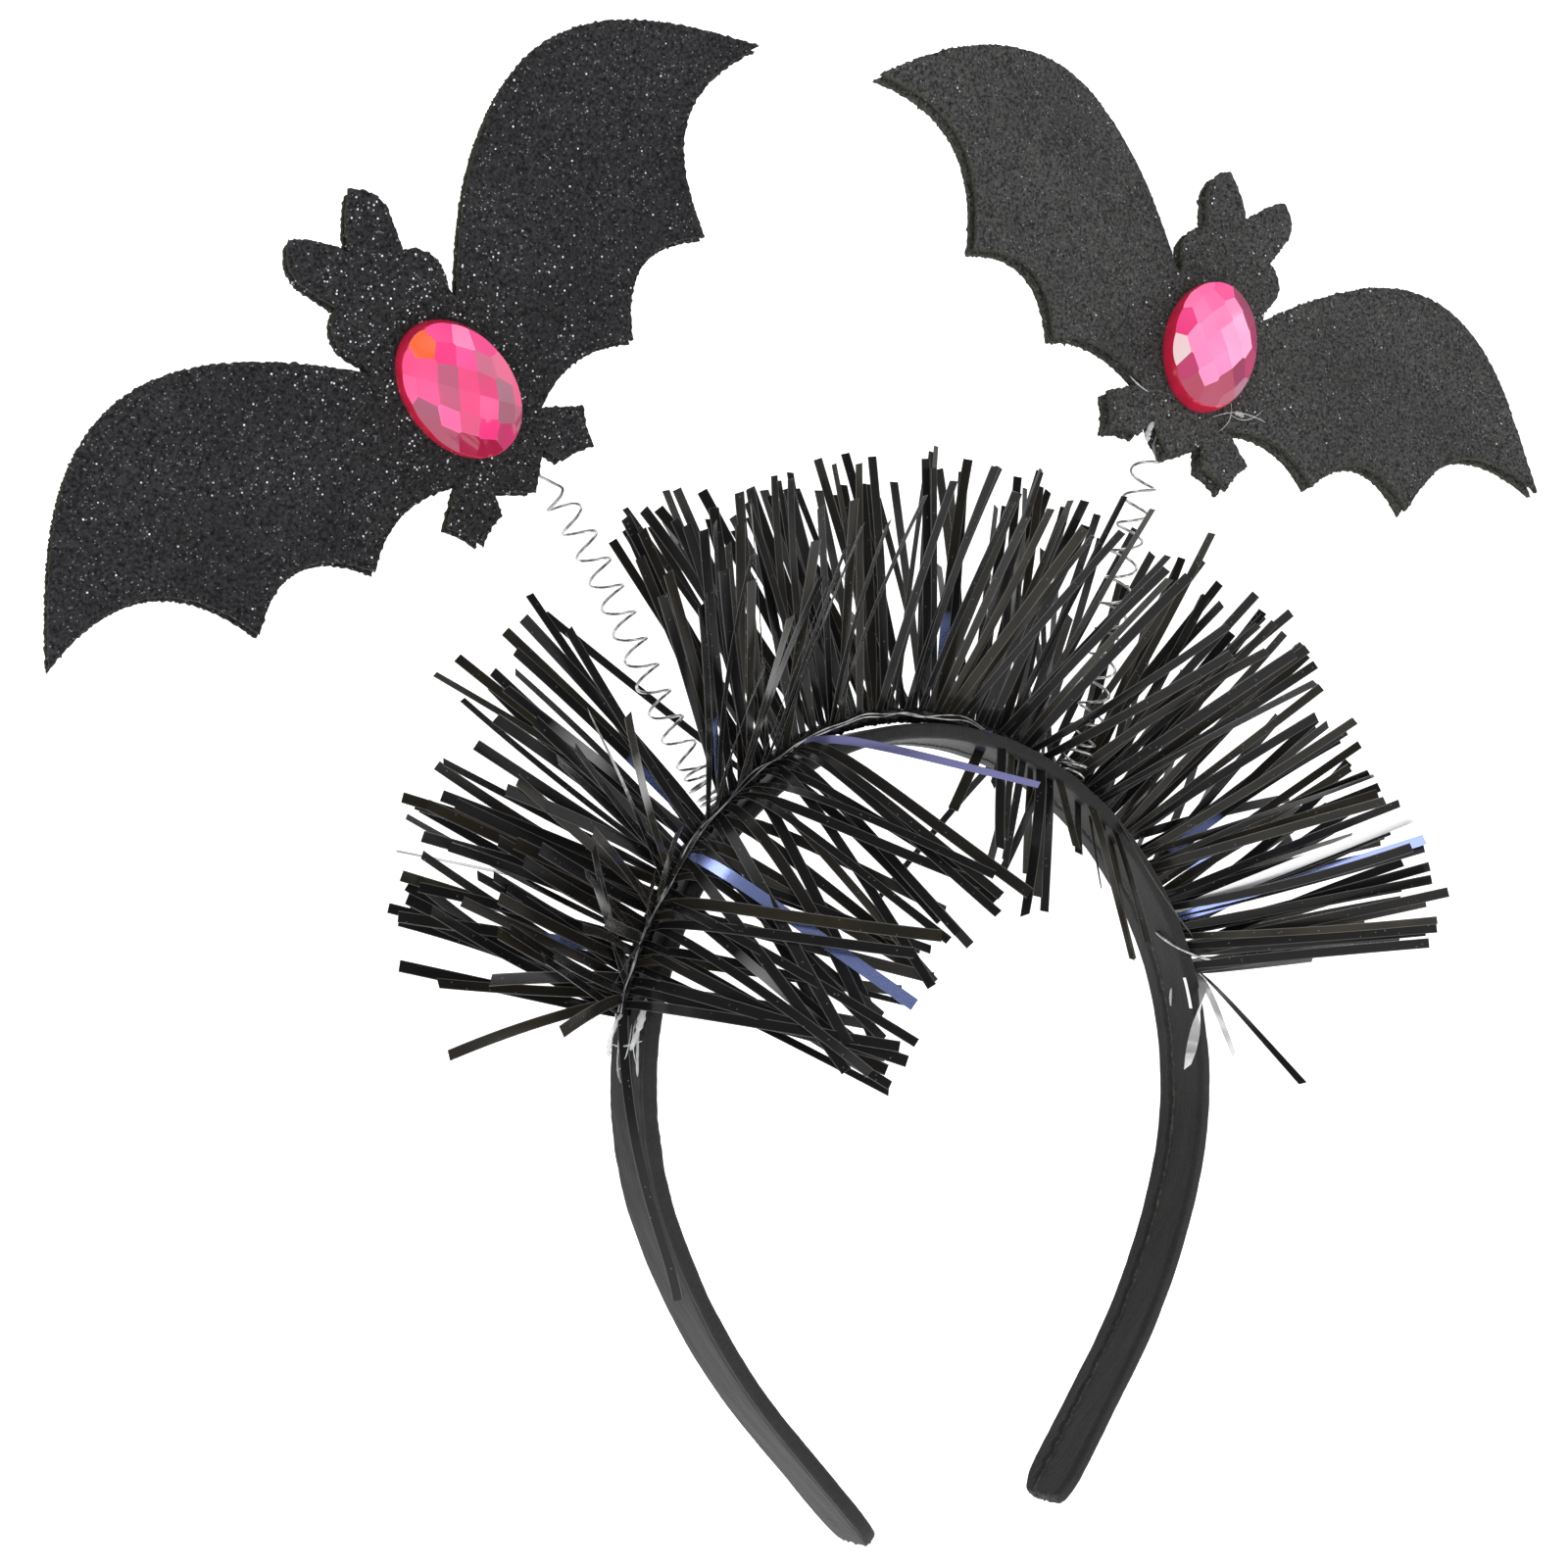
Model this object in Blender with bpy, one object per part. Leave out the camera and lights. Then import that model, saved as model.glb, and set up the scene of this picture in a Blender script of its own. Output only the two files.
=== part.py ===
"""Bat headband: a fabric-covered hoop with foil tinsel and two foam bats on wire springs.

Metres, +Z up. X runs across the head and -Y is the wearer's front. The origin is the inner top
of the hoop's arch, where it rests on the head.
"""
import math

import bmesh
import bpy
from mathutils import Matrix, Vector

# Hoop: the inner face is an arch, a flatter leg and a straight tip on each side of the top
ARCH_RADIUS = 0.060
ARCH_SWEEP = 110.0
LEG_RADIUS = 0.111
LEG_SWEEP = 20.0
TIP_LENGTH = 0.0275
BAND_WIDTH = 0.011
BAND_THICKNESS = 0.0028
BAND_CORNER = 0.0008
TIP_ROUNDING = 0.008
TIP_END_WIDTH = 0.0065
HOOP_STEP = 5.0

# Clearance between pieces that lie on each other
GAP = 0.0003

# Tinsel: flat strips that grow from a thread core laid along the arch's outer face. They lean
# and turn by a few degrees and differ in length by a share, and bend once at a share of it
CORE_RADIUS = 0.0016
CORE_SIDES = 12
TINSEL_LEFT_END = -77.0
TINSEL_RIGHT_END = 75.0
STRIP_LENGTH = 0.0475
STRIP_WIDTH = 0.0022
STRIP_SPACING = 0.0026
STRIP_TIP_THICKNESS = 0.0004
STRIP_LEAN = 6.0
STRIP_TURN = 4.0
STRIP_LENGTH_SPREAD = 0.06
STRIP_BEND = 0.30
EDGE_CLEARANCE = 0.0020

# Fan of the strips at angles from the arch's top, in degrees: how far they reach from straight
# out toward the front and toward the back, the lean of their middle along the arch, and their
# length as a share of STRIP_LENGTH
FAN = (
    {"angle": -77, "front": -52, "back": 6, "lean": -10, "length": 0.90},
    {"angle": -60, "front": -60, "back": 20, "lean": -2, "length": 0.93},
    {"angle": -44, "front": -56, "back": 32, "lean": -10, "length": 0.96},
    {"angle": -36, "front": -56, "back": 30, "lean": 10, "length": 0.98},
    {"angle": -24, "front": -48, "back": 32, "lean": 0, "length": 1.00},
    {"angle": 12, "front": -44, "back": 36, "lean": 0, "length": 1.00},
    {"angle": 36, "front": -62, "back": 30, "lean": 0, "length": 1.02},
    {"angle": 75, "front": -62, "back": 14, "lean": 10, "length": 1.04},
)
FAN_FACES = (-60, -30, 0, 30)

# Strips that bend round the band's front edge into the hoop: how far below level they point at
# angles from the arch's top, the range of that from one station to the next, both in degrees,
# and their length as a share of STRIP_LENGTH. Some hang from the right shoulder, past the gap at
# the top of the arch. They grow from two core faces, each with its own turn to the front
INNER_FAN = (
    {"angle": -76, "drop": 14, "range": 5, "length": 1.00},
    {"angle": -66, "drop": 26, "range": 8, "length": 1.00},
    {"angle": -56, "drop": 38, "range": 13, "length": 1.00},
    {"angle": -46, "drop": 50, "range": 21, "length": 1.00},
    {"angle": -36, "drop": 54, "range": 22, "length": 1.00},
    {"angle": -26, "drop": 44, "range": 8, "length": 1.00},
    {"angle": 18, "drop": 94, "range": 6, "length": 0.80},
    {"angle": 40, "drop": 82, "range": 6, "length": 0.70},
)
INNER_GAP = (-25.0, 18.0)
INNER_FACES = {-90: 22.0, -120: 34.0}
INNER_END = 40.0

# Springs: a seat turn on the band, tight turns, then open turns up to the bat
WIRE_DIAMETER = 0.00045
COIL_DIAMETER = 0.0056
TIGHT_TURNS = 5
TIGHT_PITCH = 0.0016
OPEN_TURNS = 11
TURN_POINTS = 11
COIL_RUN_IN = 0.7
SPRING_OFFSET = 0.0027

# Bats: two foam sheets cut to one outline and glued round the end of the spring's wire
SHEET_THICKNESS = 0.0010
WING_REACH = 0.0783
WING_RISE = 0.0330
BODY_HALF_WIDTH = 0.0095
EAR_RISE = 0.0350
TAIL_DROP = 0.0222
FOLD_FROM_BODY = 0.0158
FOOT_LINE = 0.0130
WIRE_TAIL = 0.0080
WIRE_LEAD = 0.0060
GROOVE_WIDTH = 0.0013

# Each bat: where its spring stands on the arch, in degrees from the top, the side of the band's
# middle line that it stands on, the way from there to the bat's stone, the turns that
# face the bat, the fold of each wing, how far the back sheet's feet splay, and where the wire
# enters the body, as a share of its half width
BATS = {
    "left": {
        "foot": -40.0, "side": 1, "rise": (-0.0438, 0.0075, 0.0695),
        "yaw": -7.0, "pitch": 17.3, "roll": -43.8,
        "wing_folds": (2.0, -1.0), "splay": 13.0, "entry": 0.27,
    },
    "right": {
        "foot": 32.0, "side": -1, "rise": (0.0166, -0.0241, 0.0768),
        "yaw": -12.5, "pitch": -1.6, "roll": 24.2,
        "wing_folds": (11.0, -2.0), "splay": 4.0, "entry": -0.32,
    },
}

# Half outline of a bat, from the tail's point up the right side to the valley between the
# ears: across, along, and the arc's rise as a share of the chord that reaches the point
FEET = (
    ("tail point", 0.00, 1.00, 0.00),
    ("foot root", 0.59, 0.78, 0.00),
    ("inner toe", 0.74, 0.96, 0.00),
    ("middle toe", 1.35, 1.04, 0.08),
    ("outer toe", 1.64, 0.75, 0.06),
    ("foot top", 1.01, 0.54, 0.00),
)
WING = (
    ("inner corner", 0.378, -0.418, 0.15),
    ("outer corner", 0.645, -0.261, 0.29),
    ("wing tip", 1.000, 0.285, 0.26),
)
WING_ROOT_RISE = 0.333
LEADING_EDGE_HANDLES = ((0.716, 1.142), (0.476, 1.318))
HEAD = (
    ("cheek foot", 0.98, 0.37, 0.00),
    ("cheek", 1.13, 0.49, -0.05),
    ("ear foot", 0.76, 0.64, -0.16),
    ("ear back", 0.98, 0.82, 0.00),
    ("ear tip", 0.66, 1.00, -0.10),
    ("valley", 0.00, 0.79, 0.06),
)
ARC_SEGMENTS = 6
EDGE_SEGMENTS = 12

# Stones: flat back, upright girdle, rings of facets and an oval table
STONE_WIDTH = 0.018
STONE_LENGTH = 0.025
STONE_HEIGHT = 0.0062
STONE_SIDES = 16
STONE_RINGS = (
    ("back", 0.97, 0.00),
    ("girdle", 1.00, 0.16),
    ("lower crown", 0.90, 0.52),
    ("upper crown", 0.70, 0.84),
    ("table", 0.44, 1.00),
)


def clear_scene():
    """Remove every object of the open scene."""
    for thing in list(bpy.data.objects):
        bpy.data.objects.remove(thing, do_unlink=True)


def material(name, colour, roughness, metallic=0.0):
    """One plain Principled material."""
    made = bpy.data.materials.new(name)
    made.use_nodes = True
    shader = made.node_tree.nodes["Principled BSDF"]
    shader.inputs["Base Color"].default_value = (*colour, 1.0)
    shader.inputs["Roughness"].default_value = roughness
    shader.inputs["Metallic"].default_value = metallic
    return made


def add_object(name, data, finish, parent=None):
    """Put mesh or curve data into the scene as one named object."""
    data.materials.append(finish)
    thing = bpy.data.objects.new(name, data)
    thing.parent = parent
    bpy.context.scene.collection.objects.link(thing)
    return thing


def mesh_from(name, points, faces, smooth_below=0.0):
    """A mesh from points and faces, smooth across edges flatter than an angle in degrees."""
    mesh = bpy.data.meshes.new(name)
    mesh.from_pydata([tuple(point) for point in points], [], faces)
    mesh.update()
    if smooth_below:
        mesh.shade_smooth()
        mesh.set_sharp_from_angle(angle=math.radians(smooth_below))
    return mesh


def loft(rings):
    """Points and faces of a closed solid through rings, anticlockwise seen from the last one."""
    size = len(rings[0])
    points = [point for ring in rings for point in ring]
    faces = []
    for row in range(len(rings) - 1):
        for side in range(size):
            first = row * size + side
            second = row * size + (side + 1) % size
            faces.append((first, second, second + size, first + size))
    faces.append(tuple(range(size - 1, -1, -1)))
    faces.append(tuple(range(len(points) - size, len(points))))
    return points, faces


def outward(angle):
    """Unit vector that points out of the hoop at an angle from its top."""
    return Vector((math.sin(angle), 0.0, math.cos(angle)))


def along(angle):
    """Unit vector along the hoop at an angle from its top, toward the right leg's tip."""
    return Vector((math.cos(angle), 0.0, -math.sin(angle)))


def arch_point(angle, height=0.0, side=0.0):
    """Point at a height above the arch's inner face, at an angle from its top."""
    centre = Vector((0.0, side, -ARCH_RADIUS))
    return centre + (ARCH_RADIUS + height) * outward(angle)


def leg_stations():
    """Inner-face points of the right half below the arch: (point, angle, distance to the end)."""
    sweep = math.radians(ARCH_SWEEP)
    lean = sweep + math.radians(LEG_SWEEP)
    centre = arch_point(sweep) - LEG_RADIUS * outward(sweep)
    steps = max(2, round(LEG_SWEEP / HOOP_STEP))
    stations = []
    for step in range(1, steps + 1):
        angle = sweep + (lean - sweep) * step / steps
        distance = TIP_LENGTH + LEG_RADIUS * (lean - angle)
        stations.append((centre + LEG_RADIUS * outward(angle), angle, distance))
    leg_end = stations[-1][0]
    for share in (0.45, 0.70, 0.82, 0.91, 0.97, 1.0):
        left = TIP_LENGTH * (1.0 - share)
        stations.append((leg_end + TIP_LENGTH * share * along(lean), lean, left))
    return stations


def half_width(distance):
    """Half the band's width at a distance from its end, rounding to the flat cut end."""
    rounding = min(TIP_ROUNDING, TIP_LENGTH)
    inset = (BAND_WIDTH - TIP_END_WIDTH) / 2.0
    if distance >= rounding:
        return BAND_WIDTH / 2.0
    share = 1.0 - distance / rounding
    return BAND_WIDTH / 2.0 - inset * (1.0 - math.sqrt(max(0.0, 1.0 - share * share)))


def band_ring(point, angle, distance):
    """Rounded rectangle across the hoop at a station of its inner face."""
    half = half_width(distance)
    corner = min(BAND_CORNER, BAND_THICKNESS / 2.5, half / 2.5)
    top = BAND_THICKNESS
    section = (
        (half - corner, 0.0), (half, corner), (half, top - corner), (half - corner, top),
        (-half + corner, top), (-half, top - corner), (-half, corner), (-half + corner, 0.0),
    )
    axis = outward(angle)
    return [point + Vector((0.0, side, 0.0)) + height * axis for side, height in section]


def build_band(finish):
    """The sleeved hoop, from the left leg's tip over the arch to the right leg's tip."""
    sweep = math.radians(ARCH_SWEEP)
    steps = 2 * round(ARCH_SWEEP / HOOP_STEP)
    right = leg_stations()
    stations = [(Vector((-p.x, p.y, p.z)), -angle, left) for p, angle, left in reversed(right)]
    reach = TIP_LENGTH + LEG_RADIUS * math.radians(LEG_SWEEP)
    for step in range(steps + 1):
        angle = -sweep + 2.0 * sweep * step / steps
        stations.append((arch_point(angle), angle, reach))
    stations += right
    points, faces = loft([band_ring(*station) for station in stations])
    return add_object("band", mesh_from("band", points, faces, 40.0), finish)


def core_side(angle):
    """Sideways place of the tinsel's core, which sways past each spring on its free side."""
    left = math.radians(BATS["left"]["foot"])
    right = math.radians(BATS["right"]["foot"])
    sway = (BAND_WIDTH - COIL_DIAMETER) / 2.0 - GAP
    phase = (angle - (left + right) / 2.0) / ((right - left) / 2.0)
    return sway * BATS["left"]["side"] * math.sin(math.pi / 2.0 * phase)


def core_axis(angle):
    """Point on the middle line of the tinsel's core."""
    height = BAND_THICKNESS + GAP + CORE_RADIUS
    return arch_point(angle, height, core_side(angle))


def fan_value(table, name, degrees):
    """A value of a fan's table at an angle of the arch, between the rows on both sides of it."""
    for low, high in zip(table, table[1:]):
        if degrees <= high["angle"] or high is table[-1]:
            share = (degrees - low["angle"]) / (high["angle"] - low["angle"])
            return low[name] + (high[name] - low[name]) * share
    return table[-1][name]


def face_point(angle, face):
    """Middle of a core face, at an angle of the arch and one round the core."""
    facet = CORE_RADIUS * math.cos(math.pi / CORE_SIDES)
    spoke = math.cos(face) * outward(angle) + math.sin(face) * Vector((0.0, 1.0, 0.0))
    return core_axis(angle) + facet * spoke


def outer_route(face, angle, index):
    """Points along a strip that stands out of the arch, from its core face to its tip.

    Sines of the strip's number, out of step with each other, stand in for chance.
    """
    degrees = math.degrees(angle)
    place = (FAN_FACES.index(face) + 0.5) / len(FAN_FACES)
    front = fan_value(FAN, "front", degrees)
    turn = front + (fan_value(FAN, "back", degrees) - front) * place
    turn = math.radians(turn + STRIP_TURN * math.sin(2.3 * index + 0.07 * face))
    lean = fan_value(FAN, "lean", degrees) + STRIP_LEAN * math.sin(1.41 * index + 0.05 * face)
    lean = math.radians(lean)
    spread = STRIP_LENGTH_SPREAD * math.sin(1.7 * index + 0.05 * face)
    length = STRIP_LENGTH * fan_value(FAN, "length", degrees) * (1.0 + spread)
    back = Vector((0.0, 1.0, 0.0))
    points = [face_point(angle, math.radians(face))]
    first = (math.radians(face) + turn) / 2.0
    for heading, share in ((first, STRIP_BEND), (turn, 1.0 - STRIP_BEND)):
        way = math.cos(heading) * outward(angle) + math.sin(heading) * back
        way = math.cos(lean) * way + math.sin(lean) * along(angle)
        points.append(points[-1] + share * length * way)
    return points


def inner_route(face, angle, index):
    """Points along a strip that bends round the band's front edge, if its station has one."""
    degrees = math.degrees(angle)
    if INNER_GAP[0] < degrees < INNER_GAP[1] or degrees > INNER_END:
        return None
    drop = fan_value(INNER_FAN, "drop", degrees)
    drop += fan_value(INNER_FAN, "range", degrees) * math.sin(2.2 * index + 0.05 * face)
    drop = math.radians(drop)
    to_front = math.radians(INNER_FACES[face])
    start = face_point(angle, math.radians(face))
    joint = start.copy()
    joint.y = -(BAND_WIDTH / 2.0 + EDGE_CLEARANCE)
    spread = STRIP_LENGTH_SPREAD * math.sin(1.7 * index)
    length = STRIP_LENGTH * fan_value(INNER_FAN, "length", degrees) * (1.0 + spread)
    rest = length - (joint - start).length
    way = math.cos(drop) * Vector((1.0, 0.0, 0.0)) - math.sin(drop) * Vector((0.0, 0.0, 1.0))
    way = math.cos(to_front) * way - math.sin(to_front) * Vector((0.0, 1.0, 0.0))
    return [start, joint, joint + rest * way]


def distance_to(point, start, end):
    """Distance from a point to the straight line between two others."""
    run = end - start
    share = max(0.0, min(1.0, (point - start).dot(run) / run.length_squared))
    return (point - start - share * run).length


def is_clear(route, springs, placements):
    """Whether a strip passes outside both coils and away from both bats."""
    room = COIL_DIAMETER / 2.0 + STRIP_WIDTH + GAP
    reach = math.hypot(WING_REACH, WING_RISE)
    depth = SHEET_THICKNESS * 2.0 + STONE_HEIGHT + STRIP_WIDTH
    for first, second in zip(route, route[1:]):
        for step in range(13):
            point = first.lerp(second, step / 12.0)
            for axis in springs:
                if min(distance_to(point, a, b) for a, b in zip(axis, axis[1:])) < room:
                    return False
            for placement in placements:
                local = placement.inverted() @ point
                close = abs(local.y) < depth and local.z > -TAIL_DROP * 1.2
                if close and math.hypot(local.x, local.z) < reach:
                    return False
    return True


def build_tinsel(finish, springs, placements):
    """The core as a swept polygon, with a strip drawn out of each chosen facet."""
    first = math.radians(TINSEL_LEFT_END)
    last = math.radians(TINSEL_RIGHT_END)
    radius = ARCH_RADIUS + BAND_THICKNESS + GAP + CORE_RADIUS
    count = max(3, round(radius * (last - first) / (STRIP_WIDTH + STRIP_SPACING)))
    pitch = (last - first) / count
    half = pitch / 2.0 * STRIP_WIDTH / (STRIP_WIDTH + STRIP_SPACING)
    angles = []
    for index in range(count):
        middle = first + (index + 0.5) * pitch
        angles += [middle - half, middle + half]
    points = []
    for angle in angles:
        for corner in range(CORE_SIDES):
            turn = 2.0 * math.pi * (corner - 0.5) / CORE_SIDES
            spoke = math.cos(turn) * outward(angle) + math.sin(turn) * Vector((0.0, 1.0, 0.0))
            points.append(core_axis(angle) + CORE_RADIUS * spoke)
    faces = [tuple(range(CORE_SIDES))]
    end = len(points) - CORE_SIDES
    faces.append(tuple(range(len(points) - 1, end - 1, -1)))
    for ring in range(len(angles) - 1):
        index = ring // 2
        middle = first + (index + 0.5) * pitch
        for side in range(CORE_SIDES):
            here = ring * CORE_SIDES + side
            beside = ring * CORE_SIDES + (side + 1) % CORE_SIDES
            facet = (here, here + CORE_SIDES, beside + CORE_SIDES, beside)
            route = strip_route(side, middle, index) if ring % 2 == 0 else None
            if route is None or not is_clear(route, springs, placements):
                faces.append(facet)
            else:
                draw_strip(points, faces, facet, route)
    return add_object("tinsel", mesh_from("tinsel", points, faces), finish)


def strip_route(side, angle, index):
    """Points along the strip that grows from a core facet, if one does."""
    face = round(360.0 * side / CORE_SIDES)
    if face > 180:
        face -= 360
    if face in FAN_FACES:
        return outer_route(face, angle, index)
    if face in INNER_FACES:
        return inner_route(face, angle, index)
    return None


def draw_strip(points, faces, facet, route):
    """Draw a facet out along a route, thinning it to its square-cut tip."""
    corners = [points[corner] for corner in facet]
    width = (corners[1] - corners[0] + corners[2] - corners[3]) / 4.0
    depth = (corners[3] - corners[0] + corners[2] - corners[1]) / 4.0
    edge = list(facet)
    root_thickness = 2.0 * depth.length
    for place, share in zip(route[1:], (0.45, 1.0)):
        wanted = root_thickness + (STRIP_TIP_THICKNESS - root_thickness) * share
        thin = depth * min(1.0, wanted / root_thickness)
        following = list(range(len(points), len(points) + 4))
        points += [place - width - thin, place + width - thin]
        points += [place + width + thin, place - width + thin]
        for corner in range(4):
            after = (corner + 1) % 4
            faces.append((edge[corner], edge[after], following[after], following[corner]))
        edge = following
    faces.append(tuple(edge))


def placement_of(bat):
    """World placement of a bat: its stone's centre, facing the front, then turned."""
    turn = (
        Matrix.Rotation(math.radians(bat["yaw"]), 4, "Z")
        @ Matrix.Rotation(math.radians(bat["pitch"]), 4, "X")
        @ Matrix.Rotation(math.radians(bat["roll"]), 4, "Y")
    )
    return Matrix.Translation(spring_foot(bat) + Vector(bat["rise"])) @ turn


def spring_foot(bat):
    """Point on the band's outer face under the middle of a spring."""
    side = bat["side"] * SPRING_OFFSET
    return arch_point(math.radians(bat["foot"]), BAND_THICKNESS, side)


def wire_entry(bat, drop):
    """Point on the wire's straight end, at a drop below the bat's stone."""
    return Vector((bat["entry"] * BODY_HALF_WIDTH, wire_depth(), -drop))


def wire_depth():
    """Depth of the wire behind the bat's middle plane, so that only the back sheet is cut."""
    return WIRE_DIAMETER / 2.0 - GAP / 4.0


def spring_axis(bat, placement, steps=24):
    """Middle line of a coil, square to the band at its foot and in line with the bat above."""
    foot = spring_foot(bat)
    normal = outward(math.radians(bat["foot"]))
    seat = foot + (GAP + WIRE_DIAMETER / 2.0) * normal
    entry = placement @ wire_entry(bat, TAIL_DROP)
    way = (placement.to_3x3() @ Vector((0.0, 0.0, 1.0))).normalized()
    top = entry - WIRE_LEAD / 2.0 * way
    pull = (top - seat).length
    points = []
    for step in range(steps + 1):
        t = step / steps
        near = (1.0 + 2.0 * t) * (1.0 - t) ** 2
        far = t * t * (3.0 - 2.0 * t)
        leave = t * (1.0 - t) ** 2 * pull
        arrive = t * t * (t - 1.0) * pull
        points.append(near * seat + far * top + leave * normal + arrive * way)
    return points


def point_at(points, lengths, distance):
    """Point and direction at a distance along a line of points."""
    for index in range(len(points) - 1):
        if distance <= lengths[index + 1] or index == len(points) - 2:
            run = points[index + 1] - points[index]
            share = (distance - lengths[index]) / run.length
            return points[index] + share * run, run.normalized()
    return points[-1], (points[-1] - points[-2]).normalized()


def coil_height(turn, length):
    """Height of the wire after some turns: a flat seat turn, tight turns, then open ones."""
    rise = TIGHT_PITCH * min(turn, 1.0) ** 2 / 2.0
    rise += TIGHT_PITCH * max(0.0, min(turn, TIGHT_TURNS) - 1.0)
    open_rise = length - TIGHT_PITCH * (TIGHT_TURNS - 0.5)
    return rise + open_rise / OPEN_TURNS * max(0.0, turn - TIGHT_TURNS)


def spring_points(bat, placement):
    """Middle line of the wire, from its seat turn to its straight end in the bat."""
    axis = spring_axis(bat, placement)
    lengths = [0.0]
    for first, second in zip(axis, axis[1:]):
        lengths.append(lengths[-1] + (second - first).length)
    turns = TIGHT_TURNS + OPEN_TURNS
    radius = (COIL_DIAMETER - WIRE_DIAMETER) / 2.0
    points = []
    for step in range(turns * TURN_POINTS + 1):
        turn = step / TURN_POINTS
        centre, way = point_at(axis, lengths, coil_height(turn, lengths[-1]))
        across = Vector((0.0, 1.0, 0.0)).cross(way).normalized()
        beside = way.cross(across)
        spin = 2.0 * math.pi * turn
        run_in = min(1.0, (turns - turn) / COIL_RUN_IN)
        spoke = math.cos(spin) * across + math.sin(spin) * beside
        points.append(centre + radius * math.sin(math.pi / 2.0 * run_in) * spoke)
    inner_end = TAIL_DROP - WIRE_TAIL
    points.append(placement @ wire_entry(bat, inner_end))
    return points


def build_spring(name, bat, placement, finish):
    """The bent wire as one tube with closed ends."""
    points = spring_points(bat, placement)
    curve = bpy.data.curves.new(name, "CURVE")
    curve.dimensions = "3D"
    curve.bevel_depth = WIRE_DIAMETER / 2.0
    curve.bevel_resolution = 1
    curve.use_fill_caps = True
    spline = curve.splines.new("POLY")
    spline.points.add(len(points) - 1)
    for knot, point in zip(spline.points, points):
        knot.co = (*point, 1.0)
    return add_object(name, curve, finish)


def arc(start, end, rise, segments):
    """Points after start on the arc to end whose middle rises left of the chord."""
    chord = end - start
    left = Vector((-chord.y, chord.x))
    points = []
    for step in range(1, segments + 1):
        share = step / segments
        points.append(start + share * chord + 4.0 * rise * share * (1.0 - share) * left)
    return points


def leading_edge(tip, root):
    """Points after the wing's tip on the smooth curve up over the wing to its root."""
    handles = [Vector((a * WING_REACH, b * WING_RISE)) for a, b in LEADING_EDGE_HANDLES]
    points = []
    for step in range(1, EDGE_SEGMENTS + 1):
        t = step / EDGE_SEGMENTS
        s = 1.0 - t
        point = s ** 3 * tip + 3.0 * s * s * t * handles[0]
        points.append(point + 3.0 * s * t * t * handles[1] + t ** 3 * root)
    return points


def half_outline():
    """Right half of a bat's outline, from the tail's point to the valley between the ears."""
    rows = [(Vector((a * BODY_HALF_WIDTH, -b * TAIL_DROP)), rise) for _, a, b, rise in FEET]
    rows += [(Vector((a * WING_REACH, b * WING_RISE)), rise) for _, a, b, rise in WING]
    points = [rows[0][0]]
    for (start, _), (end, rise) in zip(rows, rows[1:]):
        points += arc(start, end, rise, ARC_SEGMENTS if rise > 0.1 else 2 if rise else 1)
    root = Vector((BODY_HALF_WIDTH, WING_ROOT_RISE * WING_RISE))
    points += leading_edge(points[-1], root)
    for _, across, height, rise in HEAD:
        end = Vector((across * BODY_HALF_WIDTH, height * EAR_RISE))
        points += arc(points[-1], end, rise, 3 if rise else 1)
    return points


def cut_line(bm, place, normal):
    """Add an edge across a flat sheet, so that it can fold there."""
    everything = bm.verts[:] + bm.edges[:] + bm.faces[:]
    bmesh.ops.bisect_plane(bm, geom=everything, dist=1e-6, plane_co=place, plane_no=normal)


def sheet_mesh(name, bat, splay):
    """One foam sheet's middle surface: outline, fold at each wing's root, splayed feet."""
    right = half_outline()
    left = [Vector((-point.x, point.y)) for point in reversed(right[1:-1])]
    bm = bmesh.new()
    bm.faces.new([bm.verts.new((point.x, 0.0, point.y)) for point in right + left])
    cut_line(bm, (FOLD_FROM_BODY, 0.0, 0.0), (1.0, 0.0, 0.0))
    cut_line(bm, (-FOLD_FROM_BODY, 0.0, 0.0), (1.0, 0.0, 0.0))
    cut_line(bm, (0.0, 0.0, -FOOT_LINE), (0.0, 0.0, 1.0))
    for vertex in bm.verts:
        across = vertex.co.x
        fold = bat["wing_folds"][0 if across < 0.0 else 1]
        beyond = max(0.0, abs(across) - FOLD_FROM_BODY)
        drop = -FOOT_LINE - vertex.co.z if beyond == 0.0 else 0.0
        vertex.co.y = -math.tan(math.radians(fold)) * beyond
        vertex.co.y += math.tan(math.radians(splay)) * max(0.0, drop)
    mesh = bpy.data.meshes.new(name)
    bm.to_mesh(mesh)
    bm.free()
    return mesh


def build_sheet(name, bat, holder, finish, front):
    """A foam sheet with its thickness away from the bat's middle plane."""
    mesh = sheet_mesh(name, bat, 0.0 if front else bat["splay"])
    thing = add_object(name, mesh, finish, holder)
    direction = -1.0 if front else 1.0
    thing.location = (0.0, direction * GAP / 2.0, 0.0)
    wall = thing.modifiers.new("thickness", "SOLIDIFY")
    wall.thickness = SHEET_THICKNESS
    wall.offset = 1.0 if front else -1.0
    wall.use_even_offset = True
    return thing


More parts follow.
